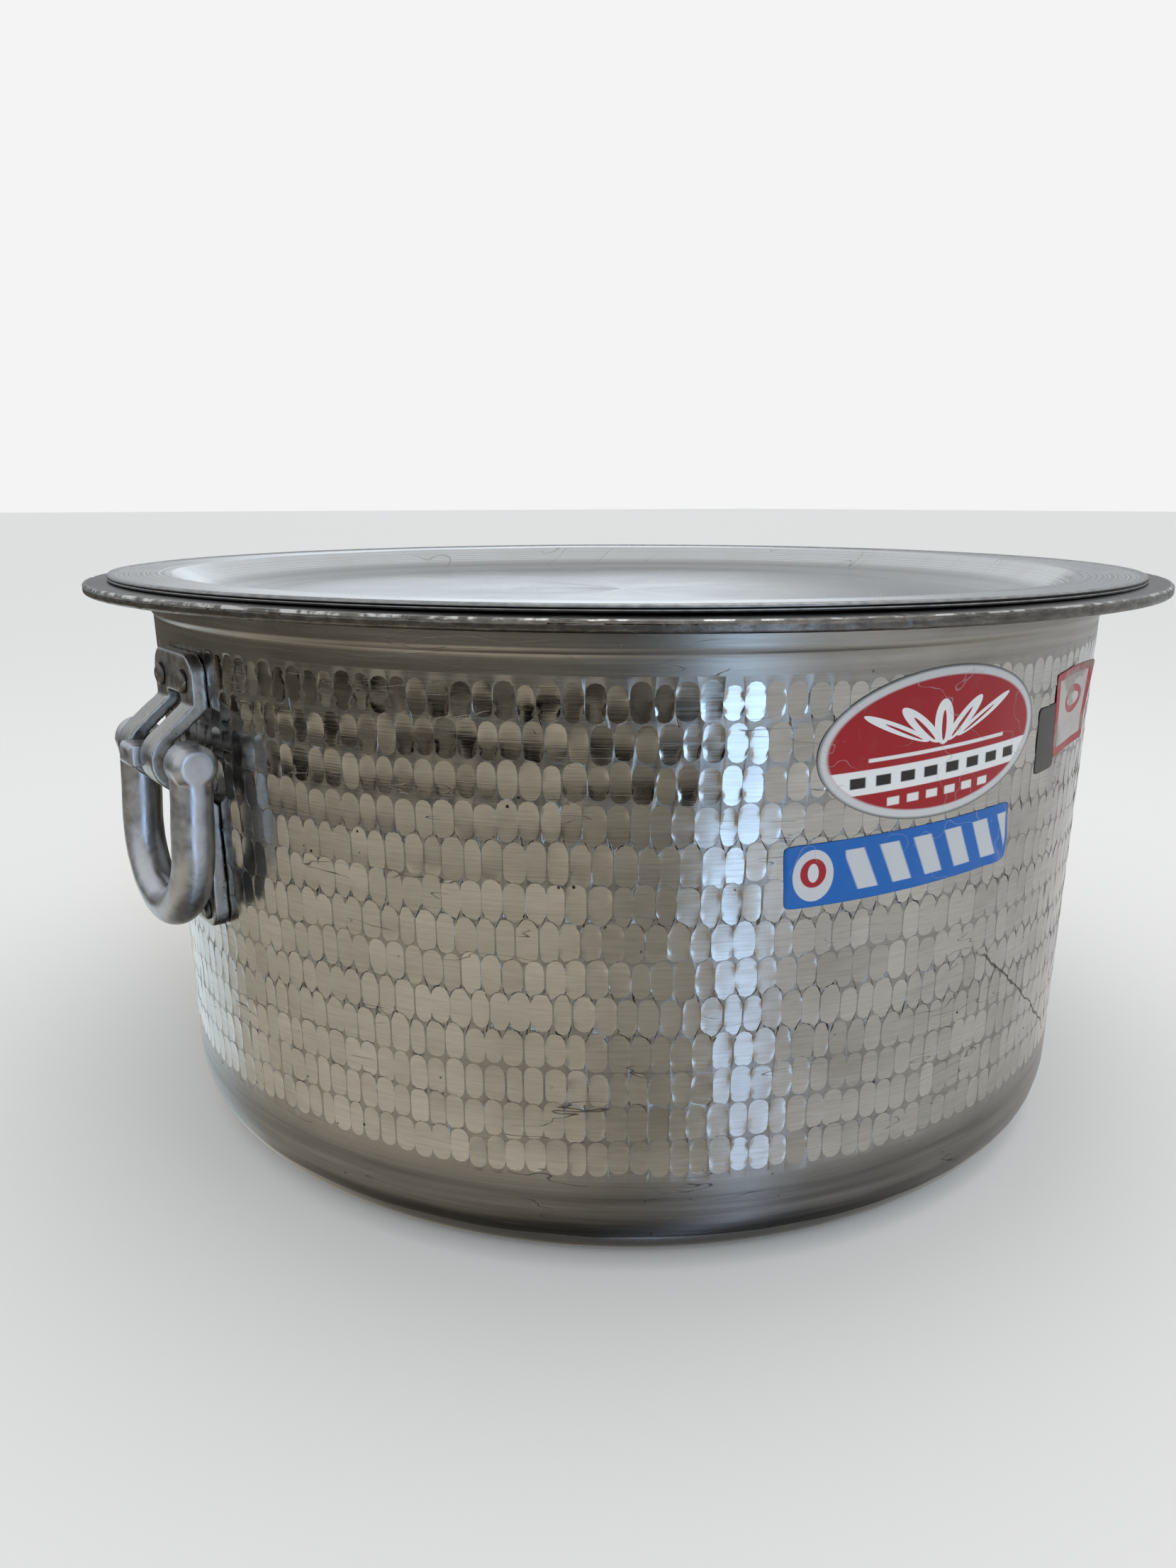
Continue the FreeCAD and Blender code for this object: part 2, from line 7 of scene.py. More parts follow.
import bpy
import numpy as np
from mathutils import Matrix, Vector


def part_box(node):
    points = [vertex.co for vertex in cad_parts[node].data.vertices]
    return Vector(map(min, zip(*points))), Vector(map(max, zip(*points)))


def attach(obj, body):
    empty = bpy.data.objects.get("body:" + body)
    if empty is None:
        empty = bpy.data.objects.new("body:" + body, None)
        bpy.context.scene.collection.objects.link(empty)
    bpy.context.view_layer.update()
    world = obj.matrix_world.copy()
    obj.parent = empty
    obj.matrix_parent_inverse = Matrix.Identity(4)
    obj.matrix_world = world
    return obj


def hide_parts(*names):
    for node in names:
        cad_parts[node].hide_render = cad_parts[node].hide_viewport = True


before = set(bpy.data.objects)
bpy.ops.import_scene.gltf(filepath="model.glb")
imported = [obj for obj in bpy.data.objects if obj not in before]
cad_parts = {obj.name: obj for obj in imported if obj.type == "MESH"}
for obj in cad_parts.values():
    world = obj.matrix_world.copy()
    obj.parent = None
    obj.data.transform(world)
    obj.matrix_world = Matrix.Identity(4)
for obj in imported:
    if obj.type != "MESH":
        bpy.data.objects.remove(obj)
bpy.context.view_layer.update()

MM = 0.001

# Heights and radii of the pot, read from the frame where its box gives them.
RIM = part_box("pot_body")[1].z
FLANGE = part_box("pot_body")[1].x
LID_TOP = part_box("lid")[1].z
LID_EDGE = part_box("lid")[1].x
NECK = RIM - 13.7 * MM
WALL_TOP = 215.0 * MM
WALL_FOOT = 210.2 * MM
GAUGE = 3.2 * MM
BASE_GAUGE = 4.0 * MM
FOOT_ROUND = 25.0 * MM
NECK_STEP = 0.9 * MM
FLANGE_GAUGE = 4.6 * MM
NECK_RADIUS = WALL_TOP + NECK_STEP

# The lid: where its rim turns down, the edge of its floor, its depth, its sheet and its vertices round.
DISH = 208 * MM
DISH_FLOOR = 190 * MM
DISH_DEPTH = 12 * MM
LID_SHEET = 1.6 * MM
LID_COLUMNS = 900

# The hammered band: stadium-shaped marks in rows round the wall, with smooth land above and below.
MARKS = 186
ROWS = 13
UPPER_ROWS = 7
BAND_TOP = RIM - 22.5 * MM
BAND_FOOT = RIM - 197.0 * MM
ROW_PITCH = (BAND_TOP - BAND_FOOT) / ROWS
SEAM_TOP = BAND_TOP + 1.5 * MM
SEAM_FOOT = BAND_FOOT - 2.5 * MM
LEAST_LAND = 0.4 * MM

# Each mark has a column of vertices on its left gap and the others at the sine of even angles across it,
# and a few lines of them down it. Its ends are arcs of a superellipse with this power.
CUTS = 8
LINES = 7
COLUMNS = MARKS * CUTS
ACROSS = np.sin((np.arange(1, CUTS) - CUTS / 2) * math.pi / (CUTS - 2))
DOWN = np.linspace(1, -1, LINES)
END_POWER = 2.2

# Points of the rim's profile that the dents along the flange's edge move.
EDGE_POINTS = 16

# Stickers: direction in degrees from -Y towards +X, height of the middle, tilt in degrees.
OVAL_PLACE = (-8.5, 191 * MM, 3)
STRIP_PLACE = (-11, 151.2 * MM, 2.6)
SQUARE_PLACE = (14.5, 193 * MM, 6)
# The last place is a dark film of painted reflection: the small sticker's lifted back mirrored in the wall.
REFLECTION_FILM_PLACE = (8.7, 184 * MM, 3)


def wall_radius(height):
    """Outside of the wall before hammering: a straight taper from the foot to the neck."""
    return WALL_FOOT + (WALL_TOP - WALL_FOOT) * height / NECK


# ------------------------------------------------------------------ meshes

def make_object(name, verts, faces, body, replaced=()):
    """A mesh object from vertex and face arrays, riding on its body."""
    mesh = bpy.data.meshes.new(name)
    mesh.from_pydata(np.asarray(verts, float), [], [tuple(face) for face in faces])
    mesh.update()
    mesh.polygons.foreach_set("use_smooth", np.ones(len(mesh.polygons), bool))
    obj = bpy.data.objects.new(name, mesh)
    bpy.context.scene.collection.objects.link(obj)
    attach(obj, body)
    if replaced:
        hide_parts(*replaced)
    return obj


def grid_faces(rows, columns):
    """Quads of a grid that closes round, whose vertices run along the columns first, then from row to row."""
    across = np.arange(columns)
    beside = (across + 1) % columns
    down = np.arange(rows - 1)[:, None] * columns
    below = down + columns
    quads = np.stack([down + across, down + beside, below + beside, below + across], axis=-1)
    return quads.reshape(-1, 4)


def smooth_noise(angle, height, rng, waves=24, spread=9, tall=0.05):
    """A sum of random waves round the pot and up it, between about -1 and 1, closed round the axis."""
    total = np.zeros(np.broadcast(angle, height).shape)
    for _ in range(waves):
        turns = rng.integers(1, spread + 1)
        rise = rng.uniform(-1, 1) * 2 * math.pi / tall
        total += np.sin(turns * angle + rise * height + rng.uniform(0, 2 * math.pi)) / math.sqrt(waves)
    return total


def flag_sharp(mesh, flags):
    """Edges whose two vertices are both flagged become creases."""
    ends = np.empty(len(mesh.edges) * 2, np.int32)
    mesh.edges.foreach_get("vertices", ends)
    ends = ends.reshape(-1, 2)
    sharp = flags[ends[:, 0]] & flags[ends[:, 1]]
    crease = mesh.attributes.new("sharp_edge", "BOOLEAN", "EDGE")
    crease.data.foreach_set("value", sharp)


def corner_values(mesh, name, per_face):
    """One value per face, stored on the face's corners."""
    sides = np.empty(len(mesh.polygons), np.int32)
    mesh.polygons.foreach_get("loop_total", sides)
    layer = mesh.attributes.new(name, "FLOAT", "CORNER")
    layer.data.foreach_set("value", np.repeat(np.asarray(per_face, np.float32), sides))


def closed_piece(name, lines, ends, body, replaced=()):
    """A closed surface from lines of points that go round anticlockwise, seen from its top.

    The lines run from the bottom up the outside. With two end points, the first and last line close to
    them; without, the last line joins the first one again.
    """
    count, columns = lines.shape[:2]
    verts = lines.reshape(-1, 3)
    if ends is None:
        closed = np.concatenate([np.arange(count * columns), np.arange(columns)])
        faces = closed[grid_faces(count + 1, columns)]
        return make_object(name, verts, faces, body, replaced)
    verts = np.concatenate([verts, ends])
    faces = [tuple(quad) for quad in grid_faces(count, columns)]
    ring = np.arange(columns)
    after = (ring + 1) % columns
    low, high = count * columns, count * columns + 1
    last = (count - 1) * columns
    faces += list(zip(np.full(columns, low), after, ring))
    faces += list(zip(last + ring, last + after, np.full(columns, high)))
    return make_object(name, verts, faces, body, replaced)


def turned_piece(name, lines, poles, body, replaced=()):
    """A closed surface turned about the pot's axis, closed on the axis if it has poles."""
    ends = np.array([[0, 0, line[:, 2].mean()] for line in (lines[0], lines[-1])]) if poles else None
    return closed_piece(name, lines, ends, body, replaced)


def round_axis(angles, radii, heights):
    """Points at those angles, radii and heights; the three are arrays of one shape."""
    angles, radii, heights = np.broadcast_arrays(angles, radii, heights)
    return np.stack([radii * np.cos(angles), radii * np.sin(angles), heights], axis=-1)


# ------------------------------------------------------------------ hammered wall

def mark_shapes(rng):
    """Every hammer mark's sides, ends, sink, tilt and hollow, as arrays of rows by marks.

    In the lower rows some neighbouring marks run into one smooth face with a scalloped top, and the
    rounded tops of a row cut into the feet of the row above.
    """
    pitch = 2 * math.pi / MARKS
    size = (ROWS, MARKS)
    rows = np.arange(ROWS)[:, None]
    joined = rng.random(size) < np.interp(rows, (1, 4, 8, 12), (0.0, 0.2, 0.25, 0.15))
    joined[:, 0] = False
    alone = ~(joined | np.roll(joined, -1, axis=1))
    first = np.maximum.accumulate(np.where(joined, 0, np.arange(MARKS)), axis=1)
    edge = (np.arange(MARKS) + rng.uniform(-0.09, 0.09, size)) * pitch
    gap = np.where(joined, 0.03, rng.uniform(0.08, 0.75, size)) * MM / WALL_TOP
    right = np.roll(edge, -1, axis=1) - np.roll(gap, -1, axis=1) / 2
    right[:, -1] += 2 * math.pi
    row_top = BAND_TOP - rows * ROW_PITCH
    sway = smooth_noise(np.arange(MARKS) * pitch, rows * 0.01, rng, waves=10, spread=16) * 0.6 * MM
    above = np.interp(rows, (0, 2, 4, 12), (-0.3, -0.2, 0.35, 0.1)) * MM
    below = np.interp(rows, (0, 2, 4, 7, 12), (-0.3, -0.2, 0.8, 0.4, 0.1)) * MM
    return {
        "phase": rng.integers(0, CUTS, ROWS),
        "left": edge + gap / 2,
        "right": right,
        "gap_angle": edge,
        "joined": joined,
        "top": row_top + above + sway + rng.normal(0, 0.5 * MM, size),
        "foot": row_top - ROW_PITCH - below + sway + rng.normal(0, 0.4 * MM, size),
        "bow": rng.uniform(3.1, 4.3, size) * MM,
        "sink": np.take_along_axis(rng.uniform(0.07, 0.12, size), first, axis=1) * MM,
        "lean": rng.normal(0, 0.014, size) * alone,
        "nod": rng.normal(0, 0.012, size) * alone,
        "hollow": np.where(alone, rng.uniform(0.02, 0.07, size), 0.012) * MM,
        "bowl": rng.uniform(0.05, 0.12, size) * MM,
        "tone": np.take_along_axis(rng.random(size), first, axis=1),
    }


def band_lines(marks):
    """The first column, and the angle, top and foot of every column, of each row of marks.

    The ends of a mark are arcs of |x|^p + |z|^p = 1 with p = END_POWER. Each row starts some columns
    further round, so that the gaps of two rows don't line up.
    """
    arc = (1 - np.abs(ACROSS) ** END_POWER) ** (1 / END_POWER)
    rows = []
    for row in range(ROWS):
        shape = {key: value[row] for key, value in marks.items()}
        start = int(shape["phase"])
        middle = (shape["left"] + shape["right"])[:, None] / 2
        half = (shape["right"] - shape["left"])[:, None] / 2
        angle = np.concatenate([shape["gap_angle"][:, None], middle + half * ACROSS], axis=1).ravel()
        turned = np.roll(unwrap(angle, start), start) + start * 2 * math.pi / COLUMNS
        lines = {"start": start, "angle": turned}
        for name, sign in (("top", 1), ("foot", -1)):
            inner = shape[name] - sign * shape["bow"]
            beside = (inner + np.roll(inner, 1))[:, None] / 2
            ends = np.concatenate([beside, inner[:, None] + sign * shape["bow"][:, None] * arc], axis=1)
            lines[name] = np.roll(ends.ravel(), start)
        rows.append(lines)
    return rows


def unwrap(angle, start):
    """The last entries, which a roll brings to the front, become one turn less."""
    turned = angle.copy()
    if start:
        turned[-start:] -= 2 * math.pi
    return turned


def mark_depth(shape, down):
    """How far a line of vertices across a row of marks stands out of the wall, less than 0 in a mark.

    With x across and z down from -1 to 1, a mark is -sink - hollow (1 - x^2)(1 - z^2) - bowl (1 - z^2),
    leant in proportion to x and nodding in proportion to z. Between two marks is a ridge, higher where
    their gap is wider.
    """
    half_width = WALL_TOP * math.pi / MARKS
    depth = -shape["sink"][:, None] - shape["hollow"][:, None] * (1 - ACROSS ** 2) * (1 - down ** 2)
    depth = depth - shape["bowl"][:, None] * (1 - down ** 2)
    depth = depth + shape["lean"][:, None] * half_width * ACROSS
    depth = np.minimum(depth + shape["nod"][:, None] * ROW_PITCH / 2 * down, -0.01 * MM)
    gap = (shape["left"] - shape["gap_angle"]) * WALL_TOP
    ridge = (depth[:, 0] + np.roll(depth[:, -1], 1)) / 2 + 0.07 * gap
    return np.concatenate([np.minimum(ridge, 0)[:, None], depth], axis=1).ravel()


def mark_faces(shape):
    """1 for a row's faces on a mark or between two that run into each other, 0 for those in a gap."""
    joined = shape["joined"][:, None].astype(float)
    return np.concatenate([joined, np.ones((MARKS, CUTS - 2)), np.roll(joined, -1, axis=0)], axis=1).ravel()


def hammered_band(marks):
    """Every line of the band from the top down, and the mark and tone of the strip of faces under it.

    A line holds its angles, heights, depths and outline flags. The land between two rows has one line.
    """
    rows = band_lines(marks)
    for upper, lower in zip(rows[:-1], rows[1:]):
        crest = np.interp(upper["angle"], lower["angle"], lower["top"], period=2 * math.pi)
        upper["foot"] = np.maximum(upper["foot"], crest + LEAST_LAND)
    even = np.arange(COLUMNS) * 2 * math.pi / COLUMNS
    level = np.zeros(COLUMNS)
    seam = np.ones(COLUMNS, bool)
    land = (level, level)
    lines = [(even, np.full(COLUMNS, SEAM_TOP), level, seam)]
    strips = [land]
    for number, row in enumerate(rows):
        shape = {key: value[number] for key, value in marks.items()}
        start = row["start"]
        for step, down in enumerate(DOWN):
            height = row["foot"] + (row["top"] - row["foot"]) * (down + 1) / 2
            at_end = step in (0, LINES - 1)
            outline = np.tile(np.r_[False, True, np.full(CUTS - 3, at_end), True], MARKS)
            depth = np.roll(mark_depth(shape, down), start)
            lines.append((row["angle"], height, depth, np.roll(outline, start)))
        face = (np.roll(mark_faces(shape), start), np.roll(np.repeat(shape["tone"], CUTS), start))
        strips += [face] * (LINES - 1) + [land]
        if number < ROWS - 1:
            lines.append(None)
            strips.append(land)
    lines.append((even, np.full(COLUMNS, SEAM_FOOT), level, seam))
    return fill_land(lines), strips


def fill_land(lines):
    """Sets the line on the land between two rows: midway, and prouder where the rows are further apart."""
    for number, line in enumerate(lines):
        if line is None:
            above, below = lines[number - 1], lines[number + 1]
            proud = 0.025 * np.clip((above[1] - below[1]) / 2, 0, 1.2 * MM)
            depth = np.minimum((above[2] + below[2]) / 2 + proud, 0)
            plain = np.zeros(COLUMNS, bool)
            lines[number] = ((above[0] + below[0]) / 2, (above[1] + below[1]) / 2, depth, plain)
    return lines


def build_wall(rng):
    """The hammered wall as two closed rings of sheet metal, split on the land between two rows."""
    lines, strips = hammered_band(mark_shapes(rng))
    middle = UPPER_ROWS * (LINES + 1)
    back_strips = [np.zeros(COLUMNS)] * 3
    for name, first, last in (("wall_upper", 0, middle), ("wall_lower", middle, len(lines) - 1)):
        chosen = lines[first:last + 1][::-1]
        angle, height, depth, outline = (np.array([line[part] for line in chosen]) for part in range(4))
        outer = round_axis(angle, wall_radius(height) + depth, height)
        inner = [round_axis(angle[end], wall_radius(height[end]) - GAUGE, height[end]) for end in (-1, 0)]
        points = np.concatenate([outer, inner])
        piece = turned_piece(name, points, False, "pot", ("pot_body",))
        outline[0] = outline[-1] = True
        flag_sharp(piece.data, np.concatenate([outline.ravel(), np.ones(2 * COLUMNS, bool)]))
        for part, layer in enumerate(("mark", "tone")):
            outside = [strip[part] for strip in strips[first:last][::-1]]
            corner_values(piece.data, layer, np.concatenate(outside + back_strips))
        yield piece


def arc_points(centre, radius, start, end, count):
    """Points of a circular arc in the radius-height plane, from one angle in degrees to another."""
    turn = np.radians(np.linspace(start, end, count))
    return [(centre[0] + radius * math.cos(t), centre[1] + radius * math.sin(t)) for t in turn]


def profile_lines(profile, columns):
    """A profile of (radius, height) pairs as arrays of lines by columns, with the angle of each column."""
    radii, heights = (np.array(part)[:, None] * np.ones(columns) for part in zip(*profile))
    angles = np.arange(columns) * 2 * math.pi / columns
    return angles, radii, heights


def spread(start, end, count):
    """Evenly spaced profile points between two, without the first."""
    share = np.linspace(0, 1, count + 1)[1:]
    return [(start[0] + (end[0] - start[0]) * s, start[1] + (end[1] - start[1]) * s) for s in share]


def rim_profile():
    """Neck, flange and lip from the wall outside to the wall inside, and the points along the edge."""
    under = RIM - FLANGE_GAUGE
    mouth = NECK_RADIUS - GAUGE
    lip = 5 * MM
    corner = 1.2 * MM
    edge = FLANGE - 1.3 * MM
    profile = [(wall_radius(SEAM_TOP), SEAM_TOP)]
    profile += spread(profile[-1], (wall_radius(NECK - 0.8 * MM), NECK - 0.8 * MM), 5)
    profile += [(WALL_TOP + 0.15 * MM, NECK - 0.3 * MM), (NECK_RADIUS - 0.1 * MM, NECK + 0.5 * MM)]
    profile += spread(profile[-1], (NECK_RADIUS + 0.1 * MM, under - 2.4 * MM), 5)
    profile += arc_points((NECK_RADIUS + 2.4 * MM, under - 2.3 * MM), 2.3 * MM, 180, 90, 6)
    profile += spread(profile[-1], (FLANGE - 1.6 * MM, under + 0.2 * MM), 6)
    profile += arc_points((edge, under + 1.4 * MM), corner, -90, 0, 5)
    profile += spread(profile[-1], (FLANGE - 0.1 * MM, RIM - 1.3 * MM), 3)
    profile += arc_points((edge, RIM - 1.4 * MM), corner, 0, 90, 6)
    along_edge = slice(len(profile) - EDGE_POINTS, len(profile))
    profile += spread(profile[-1], (mouth + lip + 3 * MM, RIM), 5)
    profile += arc_points((mouth + lip, RIM - lip), lip, 90, 180, 8)
    profile += spread(profile[-1], (wall_radius(SEAM_TOP) - GAUGE, SEAM_TOP), 6)
    return profile, along_edge


def build_rim(rng):
    """Neck, flange and lip: a spun profile, its flange bent out of true, with a worn and nicked edge."""
    profile, along_edge = rim_profile()
    angles, radii, heights = profile_lines(profile, COLUMNS)
    worn = smooth_noise(angles, heights, rng, waves=30, spread=14, tall=0.02) * 0.12 * MM
    nicks = rim_nicks(rng, angles)
    share = np.zeros((len(profile), 1))
    share[along_edge, 0] = np.sin(np.linspace(0.15, 1, EDGE_POINTS) * math.pi / 2)
    outward = np.clip((radii - NECK_RADIUS) / (FLANGE - NECK_RADIUS), 0, 1)
    bend = outward * 0.35 * MM * (1 + np.sin(3 * angles + 1))
    radii = np.minimum(radii + worn * outward - nicks * share, FLANGE)
    heights = np.minimum(heights - nicks * share * 0.5 - bend, RIM)
    heights[0] = heights[-1] = SEAM_TOP
    points = round_axis(angles, radii, heights)
    piece = turned_piece("pot_rim", points, False, "pot", ("pot_body",))
    flags = np.zeros(radii.size, bool)
    flags[:COLUMNS] = flags[-COLUMNS:] = True
    flag_sharp(piece.data, flags)
    return piece


def rim_nicks(rng, angles):
    """Small dents along the flange's edge: a sum of narrow bells of random place, width and depth."""
    dents = np.zeros_like(angles)
    for _ in range(260):
        place = rng.uniform(0, 2 * math.pi)
        width = rng.uniform(0.6, 2.4) * MM / FLANGE
        depth = min(rng.exponential(0.16), 0.6) * MM
        away = np.angle(np.exp(1j * (angles - place)))
        dents += depth * np.exp(-(away / width) ** 2)
    return dents


def build_foot(rng):
    """The smooth foot, the base and the pot's floor inside."""
    inner_round = FOOT_ROUND - GAUGE
    base_edge = wall_radius(FOOT_ROUND) - FOOT_ROUND
    floor_edge = wall_radius(BASE_GAUGE + inner_round) - GAUGE - inner_round
    centre = 8 * MM
    outside = [(centre, 0.0)]
    outside += spread(outside[-1], (base_edge, 0.0), 8)
    outside += arc_points((base_edge, FOOT_ROUND), FOOT_ROUND, -86, 0, 16)
    outside += spread(outside[-1], (wall_radius(SEAM_FOOT), SEAM_FOOT), 3)
    inside = [(wall_radius(SEAM_FOOT) - GAUGE, SEAM_FOOT)]
    inside += arc_points((floor_edge, BASE_GAUGE + inner_round), inner_round, 0, -90, 12)
    inside += spread(inside[-1], (centre, BASE_GAUGE), 6)
    angles, radii, heights = profile_lines(outside + inside, COLUMNS)
    beaten = smooth_noise(angles, heights, rng, waves=40, spread=30, tall=0.03) * 0.16 * MM
    near_bend = np.exp(-((heights - 16 * MM) / (9 * MM)) ** 2) * (radii > base_edge)
    points = round_axis(angles, radii - np.abs(beaten) * near_bend, heights)
    piece = turned_piece("pot_foot", points, True, "pot", ("pot_body",))
    flags = np.zeros(len(piece.data.vertices), bool)
    flags[(len(outside) - 1) * COLUMNS:(len(outside) + 1) * COLUMNS] = True
    flag_sharp(piece.data, flags)
    return piece


# ------------------------------------------------------------------ lid

def lid_profile():
    """The lid's sheet from the middle of its underside round the grooved hem to the middle of its top."""
    under = RIM + 0.4 * MM
    top = RIM + 2.0 * MM
    floor_top = top - DISH_DEPTH
    floor_under = floor_top - LID_SHEET
    centre = 8 * MM
    profile = [(centre, floor_under)]
    profile += spread(profile[-1], (DISH_FLOOR - 6 * MM, floor_under), 8)
    profile += spread(profile[-1], (DISH_FLOOR, floor_under + 1.0 * MM), 2)
    profile += spread(profile[-1], (DISH - 2 * MM, top - LID_SHEET - 1.6 * MM), 6)
    profile += spread(profile[-1], (DISH + 4 * MM, under), 3)
    profile += spread(profile[-1], (LID_EDGE - 1.2 * MM, under - 0.3 * MM), 8)
    profile += arc_points((LID_EDGE - 1.0 * MM, under + 0.6 * MM), 0.9 * MM, -80, 10, 5)
    profile += [(LID_EDGE - 0.55 * MM, under + 0.95 * MM), (LID_EDGE - 0.6 * MM, under + 1.1 * MM)]
    profile += arc_points((LID_EDGE - 1.3 * MM, LID_TOP - 1.25 * MM), 1.15 * MM, -20, 90, 8)
    profile += [(LID_EDGE - 2.6 * MM, LID_TOP - 0.25 * MM), (LID_EDGE - 3.5 * MM, LID_TOP - 0.75 * MM)]
    profile += spread(profile[-1], (DISH + 3 * MM, top), 12)
    profile += arc_points((DISH + 1.5 * MM, top - 6 * MM), 6 * MM, 78, 122, 6)
    profile += spread(profile[-1], (DISH_FLOOR + 2.0 * MM, floor_top + 2.2 * MM), 6)
    profile += spread(profile[-1], (DISH_FLOOR - 4 * MM, floor_top), 3)
    profile += spread(profile[-1], (centre, floor_top), 10)
    return profile


def build_lid(rng):
    """The pressed lid: grooved hem, flat rim a little out of true, sloped dish and flat floor."""
    angles, radii, heights = profile_lines(lid_profile(), LID_COLUMNS)
    warp = smooth_noise(angles, radii, rng, waves=26, spread=5, tall=0.12) * 0.22 * MM
    ripple = smooth_noise(angles, radii, rng, waves=30, spread=16, tall=0.05) * 0.05 * MM
    inward = np.clip((LID_EDGE - radii) / (20 * MM), 0, 1)
    heights = np.minimum(heights + warp * inward + ripple, LID_TOP)
    twist = 0.25 * MM * (np.sin(2 * angles + 0.6) - 1) * (radii > DISH)
    points = round_axis(angles, radii, np.minimum(heights + twist, LID_TOP))
    return turned_piece("lid_shell", points, True, "lid", ("lid",))


# ------------------------------------------------------------------ handles, brackets and rivets

def skin_of(node, voxel):
    """The CAD solid's surface rebuilt as one even skin: its vertices, faces and vertex normals."""
    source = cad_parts[node]
    mesh = source.data.copy()
    mesh.transform(source.matrix_world)
    block = bpy.data.objects.new(node + "_block", mesh)
    bpy.context.scene.collection.objects.link(block)
    remesh = block.modifiers.new("skin", "REMESH")
    remesh.mode = "VOXEL"
    remesh.voxel_size = voxel
    skin = bpy.data.meshes.new_from_object(block.evaluated_get(bpy.context.evaluated_depsgraph_get()))
    bpy.data.objects.remove(block)
    return skin


def read_vectors(collection, field, count):
    """A mesh's vectors as an array of rows of three."""
    values = np.empty(count * 3, np.float32)
    collection.foreach_get(field, values)
    return values.reshape(-1, 3).astype(float)


def relaxed(points, edges, rounds):
    """Each point moves half way to the mean of its neighbours, a number of times."""
    here, there = np.concatenate([edges, edges[:, ::-1]]).T
    share = np.bincount(here, minlength=len(points))[:, None]
    for _ in range(rounds):
        total = [np.bincount(here, points[there, axis], len(points)) for axis in range(3)]
        points = (points + np.stack(total, axis=1) / share) / 2
    return points


def lumpy(points, rng, size, waves=40):
    """A sum of random plane waves of about that size, between about -1 and 1."""
    total = np.zeros(len(points))
    for _ in range(waves):
        direction = rng.normal(size=3)
        direction *= rng.uniform(0.5, 1.4) * 2 * math.pi / size / np.linalg.norm(direction)
        total += np.sin(points @ direction + rng.uniform(0, 2 * math.pi)) / math.sqrt(waves)
    return total


def forged_piece(name, node, body, rng, dents=0.11 * MM):
    """A CAD solid with softened edges and the shallow flats of hand forging."""
    skin = skin_of(node, 0.65 * MM)
    edges = np.empty(len(skin.edges) * 2, np.int32)
    skin.edges.foreach_get("vertices", edges)
    points = relaxed(read_vectors(skin.vertices, "co", len(skin.vertices)), edges.reshape(-1, 2), 3)
    normals = read_vectors(skin.vertex_normals, "vector", len(skin.vertices))
    flats = np.maximum(lumpy(points, rng, 16 * MM), -0.3) * dents
    rough = lumpy(points, rng, 3.5 * MM) * dents * 0.18
    points = points - normals * (flats + rough + dents * 0.3)[:, None]
    faces = np.empty(len(skin.polygons) * 4, np.int32)
    skin.polygons.foreach_get("vertices", faces)
    return make_object(name, points, faces.reshape(-1, 4), body, (node,))


def rivet_profile(inner, outer):
    """Half of a rivet as (radius, reach) points: thin head inside the pot, shank and elliptic dome."""
    head, dome, shank = 4.6 * MM, 2.0 * MM, 3.0 * MM
    washer, thin, rounding = 5.0 * MM, 1.6 * MM, 0.6 * MM
    spring = outer - dome
    lower = spring - 0.3 * MM
    profile = [(0.8 * MM, inner)]
    profile += spread(profile[-1], (washer - rounding, inner), 3)
    profile += arc_points((washer - rounding, inner + rounding), rounding, -70, 0, 4)
    profile += [(washer, inner + thin), (shank, inner + thin)]
    profile += spread(profile[-1], (shank, lower), 2)
    profile += [(head - 0.3 * MM, lower), (head, spring)]
    for turn in np.linspace(0.14, 1, 9)[:-1] * math.pi / 2:
        profile.append((head * math.cos(turn), spring + dome * math.sin(turn)))
    profile.append((0.45 * MM, outer - 0.02 * MM))
    return profile, shank


def build_rivet(node, rng):
    """A hand-set rivet along X, its dome beaten a little flat and out of round."""
    low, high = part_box(node)
    side = 1 if high.x > 0 else -1
    inner, outer = sorted((abs(low.x), abs(high.x)))
    profile, shank = rivet_profile(inner, outer)
    angles, radii, reach = profile_lines(profile, 40)
    radii = radii * (1 - 0.05 * (1 + np.sin(angles * 2 + rng.uniform(0, 6))) * (radii > shank))
    beaten = rng.uniform(0.15, 0.45) * MM * (1 + 0.5 * np.sin(angles + rng.uniform(0, 6)))
    reach = np.minimum(reach, outer - beaten)
    centre_y, centre_z = (low.y + high.y) / 2, (low.z + high.z) / 2
    across = centre_y + side * radii * np.cos(angles)
    lines = np.stack([side * reach, across, centre_z + radii * np.sin(angles)], axis=-1)
    ends = np.array([[line[:, 0].mean(), centre_y, centre_z] for line in (lines[0], lines[-1])])
    return closed_piece(node + "_head", lines, ends, "pot", (node,))


# ------------------------------------------------------------------ stickers

def on_wall(across, up, direction, height, tilt, lift):
    """Points of a film on the wall: across goes round it, up goes up it, both turned by the tilt."""
    turned = across * math.cos(tilt) - up * math.sin(tilt)
    level = height + across * math.sin(tilt) + up * math.cos(tilt)
    angle = direction + turned / WALL_TOP
    radius = wall_radius(level) + lift
    return np.stack([radius * np.sin(angle), -radius * np.cos(angle), level], axis=-1)


def oval_outline(length, height, columns):
    """Points of an ellipse, anticlockwise."""
    turn = np.arange(columns) * 2 * math.pi / columns
    return np.stack([length / 2 * np.cos(turn), height / 2 * np.sin(turn)], axis=-1)


def box_outline(length, height, columns, power=24):
    """Points of a rectangle with small round corners, as the superellipse |x|^n + |y|^n = 1."""
    turn = (np.arange(columns) + 0.5) * 2 * math.pi / columns
    x, y = np.cos(turn), np.sin(turn)
    size = (np.abs(x) ** power + np.abs(y) ** power) ** (-1 / power)
    return np.stack([length / 2 * size * x, height / 2 * size * y], axis=-1)


